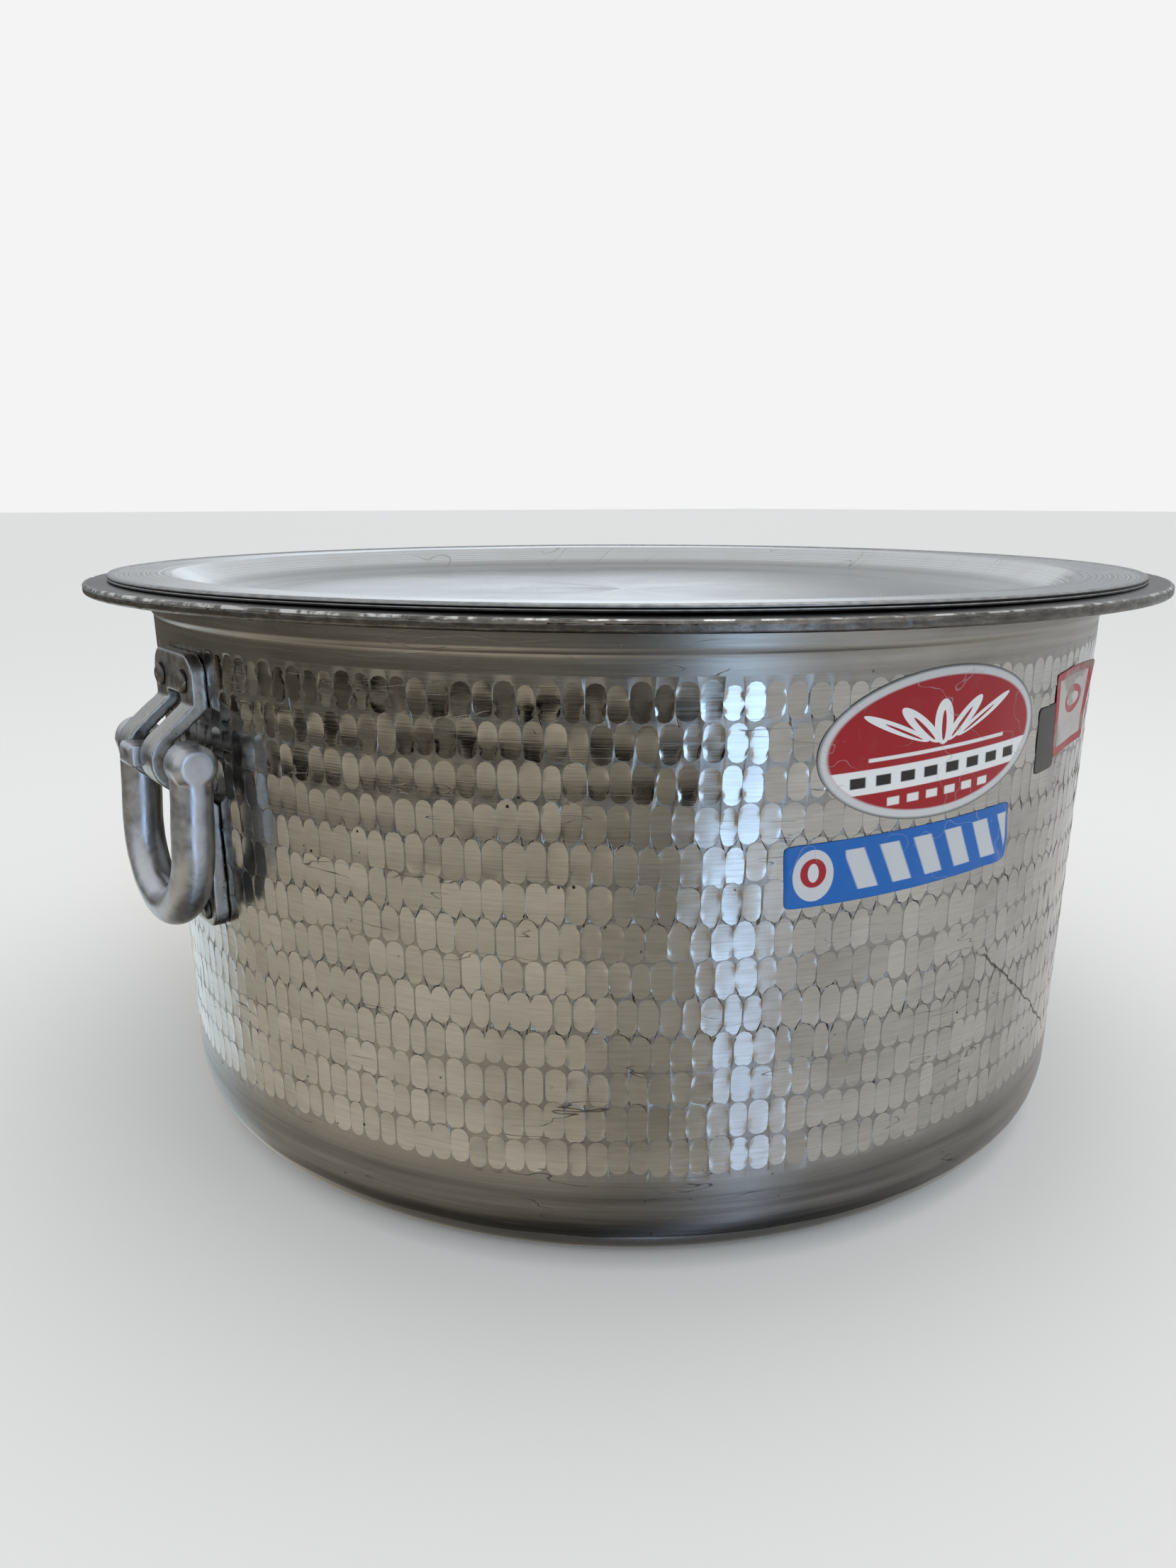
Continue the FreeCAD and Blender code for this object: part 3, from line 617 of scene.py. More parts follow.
def print_map(mesh, sheet):
    """A UV map called print with one place on the printed sheet for each vertex."""
    corners = np.empty(len(mesh.loops), np.int32)
    mesh.loops.foreach_get("vertex_index", corners)
    layer = mesh.uv_layers.new(name="print")
    layer.data.foreach_set("uv", sheet[corners].astype(np.float32).ravel())


def build_sticker(name, outline, place, rng, replaced, curl=None, wrinkle=0.05 * MM, rings=28):
    """A thin printed film on the wall, with its edge, its back and a UV map over its printed side."""
    thick = 0.13 * MM
    flat = np.linspace(1 / rings, 1, rings)[:, None, None] * outline[None]
    across, up = flat[..., 0], flat[..., 1]
    swell = lumpy(flat.reshape(-1, 2) @ np.eye(2, 3), rng, 22 * MM, waves=24).reshape(across.shape)
    lift = 0.09 * MM + wrinkle * (1 + swell)
    if curl is not None:
        lift = lift + curl(across, up)
    direction, height, tilt = math.radians(place[0]), place[1], math.radians(place[2])
    front = on_wall(across, up, direction, height, tilt, lift)
    back = on_wall(across, up, direction, height, tilt, lift - thick)
    lines = np.concatenate([back, front[::-1]])
    ends = np.array([lines[0].mean(axis=0), lines[-1].mean(axis=0)])
    piece = closed_piece(name, lines, ends, "pot", replaced)
    sheet = flat / np.abs(outline).max(axis=0) / 2 + 0.5
    both_sides = np.concatenate([sheet, sheet[::-1]]).reshape(-1, 2)
    print_map(piece.data, np.concatenate([both_sides, [[0.5, 0.5]] * 2]))
    return piece


def corner_lift(across, up):
    """The small sticker stands off the wall towards its outer edge, most at the top corner."""
    reach = np.clip((across + 2 * MM) / (18 * MM), 0, 1)
    return reach ** 2 * (2.2 + 1.6 * np.clip(up / (16 * MM), -0.4, 1)) * MM


def edge_pucker(across, up):
    """The long sticker's lower outer corner is wrinkled away from the wall."""
    near = np.exp(-((across - 46 * MM) / (9 * MM)) ** 2 - ((up + 8 * MM) / (9 * MM)) ** 2)
    return near * (0.5 + 0.5 * np.sin(across / (2.4 * MM) + up / (3.1 * MM))) * 0.9 * MM


def build_stickers(rng):
    """The oval, long and small square stickers, and a dark film beside the small one that is painted
    reflection of its lifted back.
    """
    oval = oval_outline(100 * MM, 52 * MM, 180)
    strip = box_outline(100 * MM, 22 * MM, 240)
    square = box_outline(32 * MM, 32 * MM, 160)
    reflection_film = box_outline(16 * MM, 25 * MM, 120, 12)
    return [
        build_sticker("oval_sticker", oval, OVAL_PLACE, rng, ("label_oval",)),
        build_sticker("long_sticker", strip, STRIP_PLACE, rng, ("label_strip",), edge_pucker),
        build_sticker("small_sticker", square, SQUARE_PLACE, rng, ("label_square",),
                      corner_lift),
        # A dark film of painted reflection: the small sticker's lifted back mirrored in the wall.
        build_sticker("painted_reflection_film", reflection_film, REFLECTION_FILM_PLACE, rng, (), None, 0.02 * MM, 16),
    ]


# ------------------------------------------------------------------ nodes and materials

def srgb(text):
    """A hex colour as linear red, green, blue and alpha."""
    channels = [int(text[n:n + 2], 16) / 255 for n in (1, 3, 5)]
    return [c / 12.92 if c <= 0.04045 else ((c + 0.055) / 1.055) ** 2.4 for c in channels] + [1.0]


def add(tree, kind, inputs=None, **settings):
    """A node with its settings; each input is a constant or the socket that feeds it."""
    node = tree.nodes.new("ShaderNode" + kind)
    for key, value in settings.items():
        setattr(node, key, value)
    for key, value in (inputs or {}).items():
        if isinstance(value, bpy.types.NodeSocket):
            tree.links.new(value, node.inputs[key])
        else:
            node.inputs[key].default_value = value
    return node


def new_material(name):
    """An empty material: its node tree and its surface shader."""
    material = bpy.data.materials.new(name)
    material.use_nodes = True
    return material, material.node_tree, material.node_tree.nodes["Principled BSDF"]


def ramp(tree, factor, stops):
    """The colour socket of a ramp; stops are pairs of position and hex colour."""
    node = add(tree, "ValToRGB", {"Fac": factor})
    elements = node.color_ramp.elements
    while len(elements) < len(stops):
        elements.new(0.5)
    for element, (position, colour) in zip(elements, stops):
        element.position = position
        element.color = srgb(colour)
    return node.outputs["Color"]


def between(tree, value, low, high, first=0.0, last=1.0):
    """A smooth step from first to last as the value goes from low to high."""
    inputs = {"Value": value, "From Min": low, "From Max": high, "To Min": first, "To Max": last}
    return add(tree, "MapRange", inputs, interpolation_type="SMOOTHSTEP").outputs["Result"]


def calc(tree, operation, first, second=0.0, third=0.0):
    """One sum on two or three sockets or numbers."""
    return add(tree, "Math", {0: first, 1: second, 2: third}, operation=operation).outputs[0]


def times(tree, first, *others):
    """The product of sockets or numbers."""
    for other in others:
        first = calc(tree, "MULTIPLY", first, other)
    return first


def blend(tree, factor, first, second, mode="MIX"):
    """Two colours mixed by a factor."""
    return add(tree, "Mix", {0: factor, 6: first, 7: second}, data_type="RGBA", blend_type=mode).outputs[2]


def stretched(tree, scale):
    """Object coordinates, so many times larger along each axis."""
    coords = add(tree, "TexCoord").outputs["Object"]
    return add(tree, "VectorMath", {0: coords, 1: scale}, operation="MULTIPLY").outputs[0]


def grain(tree, scale, detail=4.0, rough=0.55):
    """A noise value over stretched object coordinates; scale is in cells per metre."""
    inputs = {"Vector": stretched(tree, scale), "Scale": 1.0, "Detail": detail, "Roughness": rough}
    return add(tree, "TexNoise", inputs).outputs["Fac"]


def axis_parts(tree):
    """Distance from the pot's axis and height."""
    coords = add(tree, "TexCoord").outputs["Object"]
    parts = add(tree, "SeparateXYZ", {0: coords}).outputs
    flat = add(tree, "CombineXYZ", {0: parts[0], 1: parts[1]}).outputs[0]
    return add(tree, "VectorMath", {0: flat}, operation="LENGTH").outputs["Value"], parts[2]


def hair_lines(tree, scale, width):
    """Thin curved scratches: where a slow noise crosses its middle value."""
    value = grain(tree, scale, 2.0, 0.5)
    return between(tree, calc(tree, "ABSOLUTE", calc(tree, "SUBTRACT", value, 0.5)), 0.0, width, 1.0, 0.0)


def specks(tree, scale):
    """The distance to the nearest of many scattered points, so many to a metre, in point spacings."""
    return add(tree, "TexVoronoi", {"Vector": stretched(tree, (1, 1, 1)), "Scale": scale}).outputs["Distance"]


def finish_metal(tree, shader, colour, roughness, relief, strength, depth):
    """A metal surface of that colour and roughness, with a bump of so many metres."""
    bump = add(tree, "Bump", {"Height": relief, "Strength": strength, "Distance": depth}).outputs[0]
    for name, socket in (("Base Color", colour), ("Roughness", roughness), ("Normal", bump)):
        tree.links.new(socket, shader.inputs[name])
    shader.inputs["Metallic"].default_value = 1.0


def lathe_rings(tree, place, scale, detail):
    """A noise value that changes with that place alone, which draws rings on a turned piece."""
    inputs = {"W": times(tree, place, scale), "Scale": 1.0, "Detail": detail}
    return add(tree, "TexNoise", inputs, noise_dimensions="1D").outputs["Fac"]


def lathe_grain(tree, shader, amount):
    """Highlights are drawn out across the fine lines that turning leaves round the pot's axis."""
    shader.inputs["Anisotropic"].default_value = amount
    tangent = add(tree, "Tangent", direction_type="RADIAL", axis="Z").outputs[0]
    tree.links.new(tangent, shader.inputs["Tangent"])


def long_scratch(tree, height):
    """One dark ragged scratch that falls away to the right under the stickers."""
    coords = add(tree, "TexCoord").outputs["Object"]
    parts = add(tree, "SeparateXYZ", {0: coords}).outputs
    direction = calc(tree, "ARCTAN2", parts[0], times(tree, parts[1], -1.0))
    ragged = times(tree, grain(tree, (90, 90, 90), 3.0), 9 * MM)
    path = calc(tree, "ADD", times(tree, direction, -155 * MM), 103 * MM)
    away = calc(tree, "ABSOLUTE", calc(tree, "SUBTRACT", calc(tree, "ADD", path, ragged), height))
    length = band_at(tree, direction, math.radians(0), math.radians(22), 0.03)
    return times(tree, between(tree, away, 0.2 * MM, 0.9 * MM, 1.0, 0.0), length)


def beaten_colour(tree, mark, tone, brush):
    """Brushed land, and smooth mark faces of slightly different greys with fine level scratches."""
    strokes = grain(tree, (70, 70, 1300), 5.0, 0.65)
    land = ramp(tree, brush, [(0.3, "#908d88"), (0.7, "#a6a39e")])
    face = ramp(tree, tone, [(0.0, "#b5b3ae"), (1.0, "#c6c4bf")])
    scratched = ramp(tree, strokes, [(0.35, "#efeeec"), (0.6, "#ffffff")])
    return blend(tree, mark, land, blend(tree, 1.0, face, scratched, "MULTIPLY"))


def turned_ends(tree, colour, height, neck):
    """The dull foot and the paler neck, both with wide streaks from spinning."""
    streak = grain(tree, (9, 9, 260), 3.0, 0.5)
    foot = between(tree, height, BAND_FOOT - 10 * MM, BAND_FOOT + 1 * MM, 1.0, 0.0)
    colour = blend(tree, foot, colour, ramp(tree, streak, [(0.35, "#6b6966"), (0.65, "#898783")]))
    return blend(tree, neck, colour, ramp(tree, streak, [(0.3, "#8f8b84"), (0.7, "#b0aca4")]))


def flange_wear_and_shade(tree, colour, radius, height, edge):
    """The rubbed flange, its top painted darker as shade under the lid's hem, and bright chips on its upper
    corner.
    """
    scuffs = grain(tree, (190, 190, 420), 5.0, 0.6)
    rubbed = ramp(tree, scuffs, [(0.3, "#5b5854"), (0.5, "#6f6b66"), (0.7, "#85817b")])
    colour = blend(tree, edge, colour, rubbed)
    # Painted shade: the flange's top inside its corner is darkened to stand in for the shadow under the lid's
    # hem.
    on_top = between(tree, height, RIM - 1.6 * MM, RIM - 1.0 * MM)
    off_corner = between(tree, radius, FLANGE - 2.5 * MM, FLANGE - 1.2 * MM, 1.0, 0.0)
    colour = blend(tree, times(tree, off_corner, on_top, edge), colour, srgb("#504e4b"))
    near_top = between(tree, height, RIM - 1.5 * MM, RIM - 1.0 * MM)
    corner = between(tree, radius, FLANGE - 1.7 * MM, FLANGE - 1.0 * MM)
    broken = between(tree, grain(tree, (170, 170, 170), 4.0), 0.46, 0.58)
    return blend(tree, times(tree, corner, near_top, broken), colour, srgb("#cfcdc8"))


def wall_soil(tree, height):
    """Dark pits in a few patches, fine curved scratches and the long one, from 0 to 1."""
    sparse = between(tree, grain(tree, (38, 38, 38), 2.0), 0.56, 0.66)
    pit = times(tree, between(tree, specks(tree, 150.0), 0.05, 0.11, 1.0, 0.0), sparse)
    few = between(tree, grain(tree, (30, 30, 70), 1.0), 0.6, 0.68)
    scratch = times(tree, hair_lines(tree, (24, 24, 150), 0.008), few)
    soil = calc(tree, "MAXIMUM", pit, times(tree, scratch, 0.7))
    return calc(tree, "MAXIMUM", soil, times(tree, long_scratch(tree, height), 0.8))


def turned_inside(tree, colour, radius, height):
    """The inside of the pot is bright, with fine rings from spinning."""
    slope = (WALL_TOP - WALL_FOOT) / NECK
    middle = calc(tree, "MULTIPLY_ADD", height, slope, WALL_FOOT - 2.2 * MM)
    inside = calc(tree, "LESS_THAN", radius, middle)
    inside = times(tree, inside, calc(tree, "GREATER_THAN", height, 2 * MM))
    rings = lathe_rings(tree, calc(tree, "ADD", radius, height), 900.0, 3.0)
    return blend(tree, inside, colour, ramp(tree, rings, [(0.3, "#c4c3c0"), (0.7, "#dcdbd8")]))


def beaten_gloss(tree, mark, tone, brush, height, soil):
    """Roughness: 0.28 on the land, about 0.11 on a mark, less on the topmost rows, more on soil."""
    gloss = calc(tree, "MULTIPLY_ADD", mark, -0.17, 0.28)
    gloss = calc(tree, "ADD", gloss, times(tree, tone, mark, 0.06))
    gloss = calc(tree, "ADD", gloss, between(tree, brush, 0.3, 0.7, -0.02, 0.04))
    high = between(tree, height, BAND_TOP - 3.4 * ROW_PITCH, BAND_TOP - 2.8 * ROW_PITCH, 0.0, -0.06)
    gloss = calc(tree, "ADD", gloss, times(tree, high, mark))
    return calc(tree, "ADD", gloss, times(tree, soil, 0.3))


def beaten_relief(tree, mark, brush, neck, edge, soil):
    """Brush lines, swooping scratches on the neck, sunk soil and the flange's rough edge."""
    lines = times(tree, brush, calc(tree, "MULTIPLY_ADD", mark, -0.5, 1.0))
    swoop = times(tree, hair_lines(tree, (16, 16, 90), 0.02), neck)
    relief = calc(tree, "SUBTRACT", lines, times(tree, swoop, 0.5))
    relief = calc(tree, "SUBTRACT", relief, times(tree, soil, 2.0))
    return calc(tree, "ADD", relief, times(tree, edge, 6.0, grain(tree, (400, 400, 700), 4.0)))


def hammered_aluminium():
    """Hand-beaten aluminium: polished mark faces on a brushed wall, a spun neck and a worn flange edge.

    The eye gets mirror-like marks of uneven tone, fine level brush lines between them, dark pits, and
    bright chips along the flange.
    """
    material, tree, shader = new_material("hammered_aluminium")
    radius, height = axis_parts(tree)
    mark = add(tree, "Attribute", attribute_name="mark").outputs["Fac"]
    tone = add(tree, "Attribute", attribute_name="tone").outputs["Fac"]
    brush = grain(tree, (26, 26, 1500), 5.0, 0.6)
    neck = between(tree, height, BAND_TOP - 1 * MM, BAND_TOP + 5 * MM)
    edge = between(tree, radius, WALL_TOP + 8 * MM, WALL_TOP + 14 * MM)
    soil = wall_soil(tree, height)
    colour = turned_ends(tree, beaten_colour(tree, mark, tone, brush), height, neck)
    colour = flange_wear_and_shade(tree, colour, radius, height, edge)
    colour = blend(tree, soil, colour, srgb("#3a352e"))
    stain = between(tree, grain(tree, (14, 14, 20), 4.0, 0.6), 0.35, 0.75, 0.0, 0.3)
    colour = blend(tree, stain, colour, srgb("#8c8578"), "MULTIPLY")
    finish_metal(tree, shader, turned_inside(tree, colour, radius, height),
                 beaten_gloss(tree, mark, tone, brush, height, soil),
                 beaten_relief(tree, mark, brush, neck, edge, soil), 0.35, 0.08 * MM)
    lathe_grain(tree, shader, 0.35)
    return material


def spun_aluminium():
    """Sheet aluminium pressed and spun: fine rings round the axis, and painted shade darkening the groove
    under the hem.

    The eye gets a bright dish and rim with turning lines, a greyer floor and a dull rubbed hem.
    """
    material, tree, shader = new_material("spun_aluminium")
    radius, height = axis_parts(tree)
    rings = lathe_rings(tree, radius, 1300.0, 4.0)
    cloud = grain(tree, (30, 30, 30), 4.0, 0.6)
    colour = ramp(tree, rings, [(0.3, "#b9bbbc"), (0.7, "#d3d4d3")])
    floor = between(tree, radius, DISH_FLOOR + 2 * MM, DISH_FLOOR + 8 * MM, 1.0, 0.0)
    colour = blend(tree, floor, colour, ramp(tree, rings, [(0.3, "#8a8a89"), (0.7, "#a5a6a6")]))
    colour = blend(tree, between(tree, cloud, 0.4, 0.75, 0.0, 0.2), colour, srgb("#a5a39e"))
    hem = between(tree, radius, LID_EDGE - 5 * MM, LID_EDGE - 3 * MM)
    rubbed = ramp(tree, grain(tree, (240, 240, 800), 4.0), [(0.35, "#6a6968"), (0.65, "#979694")])
    colour = blend(tree, times(tree, hem, 0.8), colour, rubbed)
    # Painted shade: a dark band in the groove under the hem stands in for the shade in that recess.
    outermost = between(tree, radius, LID_EDGE - 1.4 * MM, LID_EDGE - 0.8 * MM)
    over_foot = between(tree, height, LID_TOP - 2.0 * MM, LID_TOP - 1.7 * MM)
    under_top = between(tree, height, LID_TOP - 1.4 * MM, LID_TOP - 1.1 * MM, 1.0, 0.0)
    colour = blend(tree, times(tree, outermost, over_foot, under_top), colour, srgb("#2b2824"))
    few = between(tree, grain(tree, (16, 16, 16), 1.0), 0.5, 0.62)
    scratch = times(tree, hair_lines(tree, (14, 40, 10), 0.006), few, 0.5)
    colour = blend(tree, scratch, colour, srgb("#6d6a64"))
    gloss = between(tree, rings, 0.3, 0.7, 0.15, 0.24)
    gloss = calc(tree, "ADD", gloss, between(tree, cloud, 0.4, 0.8, 0.0, 0.07))
    gloss = calc(tree, "ADD", gloss, times(tree, hem, 0.12))
    finish_metal(tree, shader, colour, gloss, rings, 0.3, 0.03 * MM)
    lathe_grain(tree, shader, 0.4)
    return material


def forged_aluminium(name, dark, light, rough, pitted, dull):
    """Forged and tumbled aluminium: satin, mottled, with file lines and rubbed high spots.

    The eye gets a soft broad highlight broken by small dull patches, holes and scratches.
    """
    material, tree, shader = new_material(name)
    mottle = grain(tree, (150, 150, 150), 5.0, 0.62)
    patch = grain(tree, (45, 45, 45), 3.0, 0.5)
    file_lines = grain(tree, (500, 90, 1400), 3.0, 0.5)
    colour = ramp(tree, mottle, [(0.3, dark), (0.7, light)])
    colour = blend(tree, between(tree, patch, 0.35, 0.7, 0.0, dull), colour, srgb("#74716c"))
    few = between(tree, patch, 0.5, 0.62)
    hole = times(tree, between(tree, specks(tree, 420.0), 0.1, 0.2, 1.0, 0.0), few, pitted)
    colour = blend(tree, hole, colour, srgb("#2f2b26"))
    scratch = times(tree, hair_lines(tree, (60, 60, 35), 0.006), between(tree, mottle, 0.45, 0.6), 0.5)
    colour = blend(tree, scratch, colour, srgb("#e2dfd8"))
    roughness = between(tree, mottle, 0.3, 0.7, rough - 0.08, rough + 0.08)
    relief = calc(tree, "ADD", mottle, times(tree, file_lines, 0.35))
    relief = calc(tree, "SUBTRACT", relief, hole)
    finish_metal(tree, shader, colour, roughness, relief, 0.4, 0.12 * MM)
    return material


def sheet_parts(tree):
    """Across and up on a sticker's printed side, both from -1 to 1."""
    flat = add(tree, "UVMap", uv_map="print").outputs[0]
    centred = add(tree, "VectorMath", {0: flat, 1: (2, 2, 1), 2: (-1, -1, 0)}, operation="MULTIPLY_ADD")
    parts = add(tree, "SeparateXYZ", {0: centred.outputs[0]}).outputs
    return parts[0], parts[1]


def oval_at(tree, across, up, centre, size):
    """1 in an ellipse at that centre, 0 outside it, with a crisp edge."""
    x = calc(tree, "DIVIDE", calc(tree, "SUBTRACT", across, centre[0]), size[0])
    y = calc(tree, "DIVIDE", calc(tree, "SUBTRACT", up, centre[1]), size[1])
    square = calc(tree, "ADD", times(tree, x, x), times(tree, y, y))
    return between(tree, square, 0.96, 1.04, 1.0, 0.0)


def band_at(tree, value, low, high, soft=0.01):
    """1 where the value is between low and high."""
    over = between(tree, value, low - soft, low + soft)
    under = between(tree, value, high - soft, high + soft, 1.0, 0.0)
    return times(tree, over, under)


def bars_at(tree, across, up, count, slant, filled):
    """Slanted bars side by side, so many across half of the sticker."""
    place = times(tree, calc(tree, "MULTIPLY_ADD", up, slant, across), count)
    return band_at(tree, calc(tree, "FRACT", place), 0.5 - filled / 2, 0.5 + filled / 2, 0.04)


def oblong_at(tree, across, up, sides, ends, soft=0.01):
    """1 in a rectangle, given as (from, to) pairs across and up."""
    return times(tree, band_at(tree, across, *sides), band_at(tree, up, *ends, soft))


def laminated(name, colour_of, dulled):
    """Printed film under a clear laminate: strong flat inks, a soft gloss, dust and rubbed spots.

    The eye gets an even ink broken by pale dusty patches, short grey scratches and a faint swell.
    """
    material, tree, shader = new_material(name)
    colour = colour_of(tree, *sheet_parts(tree))
    dust = between(tree, grain(tree, (120, 120, 120), 5.0, 0.6), 0.5, 0.8, 0.0, dulled)
    colour = blend(tree, dust, colour, srgb("#9a958e"))
    few = between(tree, grain(tree, (30, 30, 30), 1.0), 0.5, 0.6, 0.0, 0.5)
    rub = times(tree, hair_lines(tree, (45, 45, 60), 0.006), few)
    colour = blend(tree, rub, colour, srgb("#a9a5a0"))
    tree.links.new(colour, shader.inputs["Base Color"])
    tree.links.new(between(tree, grain(tree, (60, 60, 60)), 0.3, 0.7, 0.3, 0.42), shader.inputs["Roughness"])
    shader.inputs["Coat Weight"].default_value = 0.12
    shader.inputs["Specular IOR Level"].default_value = 0.35
    shader.inputs["Coat Roughness"].default_value = 0.12
    swell = grain(tree, (260, 260, 260), 3.0)
    bump = add(tree, "Bump", {"Height": swell, "Strength": 0.25, "Distance": 0.06 * MM}).outputs[0]
    tree.links.new(bump, shader.inputs["Normal"])
    return material


def oval_print(tree, across, up):
    """Red oval with a silver border, a white band with dark bars, and a fan of five white leaves."""
    red = srgb("#9c0616")
    field = oval_at(tree, across, up, (0, 0), (0.93, 0.87))
    colour = blend(tree, oval_at(tree, across, up, (0, 0), (0.985, 0.97)), srgb("#7d7c7b"), srgb("#cacaca"))
    colour = blend(tree, field, colour, red)
    band = times(tree, band_at(tree, up, -0.52, -0.2, 0.008), field)
    colour = blend(tree, band, colour, srgb("#e6e6e4"))
    row = oblong_at(tree, across, up, (-0.79, 0.79), (-0.43, -0.29))
    dashes = times(tree, bars_at(tree, across, up, 5.0, 0.0, 0.6), row)
    colour = blend(tree, dashes, colour, srgb("#1f1c1d"))
    row = oblong_at(tree, across, up, (-0.49, 0.49), (-0.72, -0.61))
    dashes = times(tree, bars_at(tree, across, up, 6.0, 0.0, 0.6), row)
    colour = blend(tree, dashes, colour, srgb("#e2dfdc"))
    for step in (-2, -1, 0, 1, 2):
        leaned = calc(tree, "MULTIPLY_ADD", up, -0.55 * step, across)
        leaf = oval_at(tree, leaned, up, (0.05 * step, 0.27), (0.085, 0.3 - 0.035 * abs(step)))
        colour = blend(tree, leaf, colour, srgb("#e6e5e4"))
        vein = oval_at(tree, leaned, up, (0.05 * step, 0.22), (0.02, 0.2 - 0.03 * abs(step)))
        colour = blend(tree, vein, colour, red)
    stem = oblong_at(tree, across, up, (-0.62, 0.62), (-0.11, -0.06), 0.008)
    return blend(tree, stem, colour, srgb("#e2e1e0"))


def strip_print(tree, across, up):
    """Blue strip with a silver medallion at its left end and slanted silver bars along it."""
    row = oblong_at(tree, across, up, (-0.55, 0.97), (-0.66, 0.66), 0.02)
    bars = times(tree, bars_at(tree, across, up, 3.5, 0.09, 0.56), row)
    colour = blend(tree, bars, srgb("#055fae"), srgb("#c3c6c9"))
    colour = blend(tree, oval_at(tree, across, up, (-0.79, 0), (0.15, 0.82)), colour, srgb("#c6c8ca"))
    colour = blend(tree, oval_at(tree, across, up, (-0.79, 0.08), (0.095, 0.46)), colour, srgb("#9f1222"))
    return blend(tree, oval_at(tree, across, up, (-0.79, 0.08), (0.04, 0.3)), colour, srgb("#cfd0d0"))


def square_print(tree, across, up):
    """Small faded square: red border, pale middle with a red ring, rubbed dull in patches."""
    inside = oblong_at(tree, across, up, (-0.8, 0.8), (-0.8, 0.8))
    colour = blend(tree, inside, srgb("#a01a28"), srgb("#b9b2ab"))
    colour = blend(tree, oval_at(tree, across, up, (0.1, 0.2), (0.5, 0.34)), colour, srgb("#a3202e"))
    colour = blend(tree, oval_at(tree, across, up, (0.1, 0.2), (0.36, 0.16)), colour, srgb("#c2bbb4"))
    faded = between(tree, grain(tree, (90, 90, 90), 3.0), 0.5, 0.62, 0.0, 0.75)
    return blend(tree, faded, colour, srgb("#8a8178"))


def painted_reflection_material():
    """Painted reflection of the small sticker's lifted back in the wall: a dull, dark, blotched patch on the
    bright metal.
    """
    material, tree, shader = new_material("painted_reflection_material")
    blot = grain(tree, (160, 160, 160), 5.0, 0.6)
    tree.links.new(ramp(tree, blot, [(0.3, "#2e2b28"), (0.7, "#5a554e")]), shader.inputs["Base Color"])
    tree.links.new(between(tree, blot, 0.3, 0.7, 0.35, 0.6), shader.inputs["Roughness"])
    return material


# ------------------------------------------------------------------ light, floor and camera

def toward(tree, level, degrees):
    """The cosine of the angle to the level direction so many degrees from -Y towards +X."""
    aim = (math.sin(math.radians(degrees)), -math.cos(math.radians(degrees)), 0)
    return add(tree, "VectorMath", {0: level, 1: aim}, operation="DOT_PRODUCT").outputs["Value"]


def within(tree, cosine, outer, inner, first=0.0, last=1.0):
    """A smooth step from first to last as an angle in degrees goes from outer to inner."""
    return between(tree, cosine, math.cos(math.radians(outer)), math.cos(math.radians(inner)), first, last)


def mix_values(tree, factor, first, second):
    """Two values mixed by a factor."""
    return add(tree, "Mix", {0: factor, 2: first, 3: second}).outputs[0]


def ground_colours(tree, rise):
    """The colours that the metal mirrors from low to high: taupe ground to the left, grey to the right."""
    above = [(0.52, "#cfd5da"), (0.57, "#e9eef3"), (1.0, "#e6e8ea")]
    left = [(0.0, "#3f3c38"), (0.08, "#5d5952"), (0.18, "#b9b2a6"), (0.24, "#d9d2c5"), (0.33, "#c6bfb1"),
            (0.38, "#9c9487"), (0.42, "#6b655b"), (0.46, "#6d685f"), (0.49, "#8f9090")]
    right = [(0.0, "#3e3d3c"), (0.08, "#5c5c5b"), (0.18, "#aeadac"), (0.24, "#cbcac8"), (0.35, "#d8d8d8"),
             (0.42, "#d6d8db"), (0.49, "#b9bcc0")]
    return ramp(tree, rise, left + above), ramp(tree, rise, right + above)


def room_clutter(tree, coords):
    """Blurred dark, brown and cream shapes of a room, which the topmost marks mirror."""
    finer = add(tree, "VectorMath", {0: coords, 1: (9.0, 9.0, 7.0)}, operation="MULTIPLY").outputs[0]
    shapes = add(tree, "TexNoise", {"Vector": finer, "Scale": 1.0, "Detail": 1.0}).outputs["Fac"]
    return ramp(tree, shapes, [(0.38, "#0d0c0c"), (0.43, "#241a16"), (0.46, "#8f887b"), (0.49, "#b9b3a5"),
                               (0.505, "#19171a"), (0.55, "#101216"), (0.575, "#4a2a22"), (0.6, "#8e8779"),
                               (0.63, "#0f1014"), (0.7, "#57524a")])


def far_side(tree, lit, level, up):
    """What the lid mirrors beyond the pot: a bright doorway between grey walls, further left when higher."""
    doorway_place = between(tree, up, 0.05, 0.1)
    beyond = mix_values(tree, doorway_place, toward(tree, level, 138), toward(tree, level, 147))
    walls = times(tree, band_at(tree, up, 0.0, 0.2, 0.04), within(tree, beyond, 20, 11, 0.85, 0.0))
    lit = blend(tree, walls, lit, srgb("#8a8d91"))
    doorway = times(tree, band_at(tree, up, 0.0, 0.3, 0.03), within(tree, beyond, 15, 8), 0.8)
    return blend(tree, doorway, lit, [1.15, 1.25, 1.35, 1.0])


def window_light(tree, lit, level, up):
    """A tall bluish window, whose lower part stands a little further to the right and is dimmer."""
    low_down = between(tree, up, -0.3, -0.6)
    window = mix_values(tree, low_down, toward(tree, level, -13), toward(tree, level, -6))
    glow = times(tree, within(tree, window, 7, 4), between(tree, up, 0.55, 0.75, 1.0, 0.0))
    pane = blend(tree, between(tree, up, -0.55, -0.15), [1.05, 1.3, 1.75, 1.0], [1.6, 2.3, 3.3, 1.0])
    return blend(tree, glow, lit, pane)


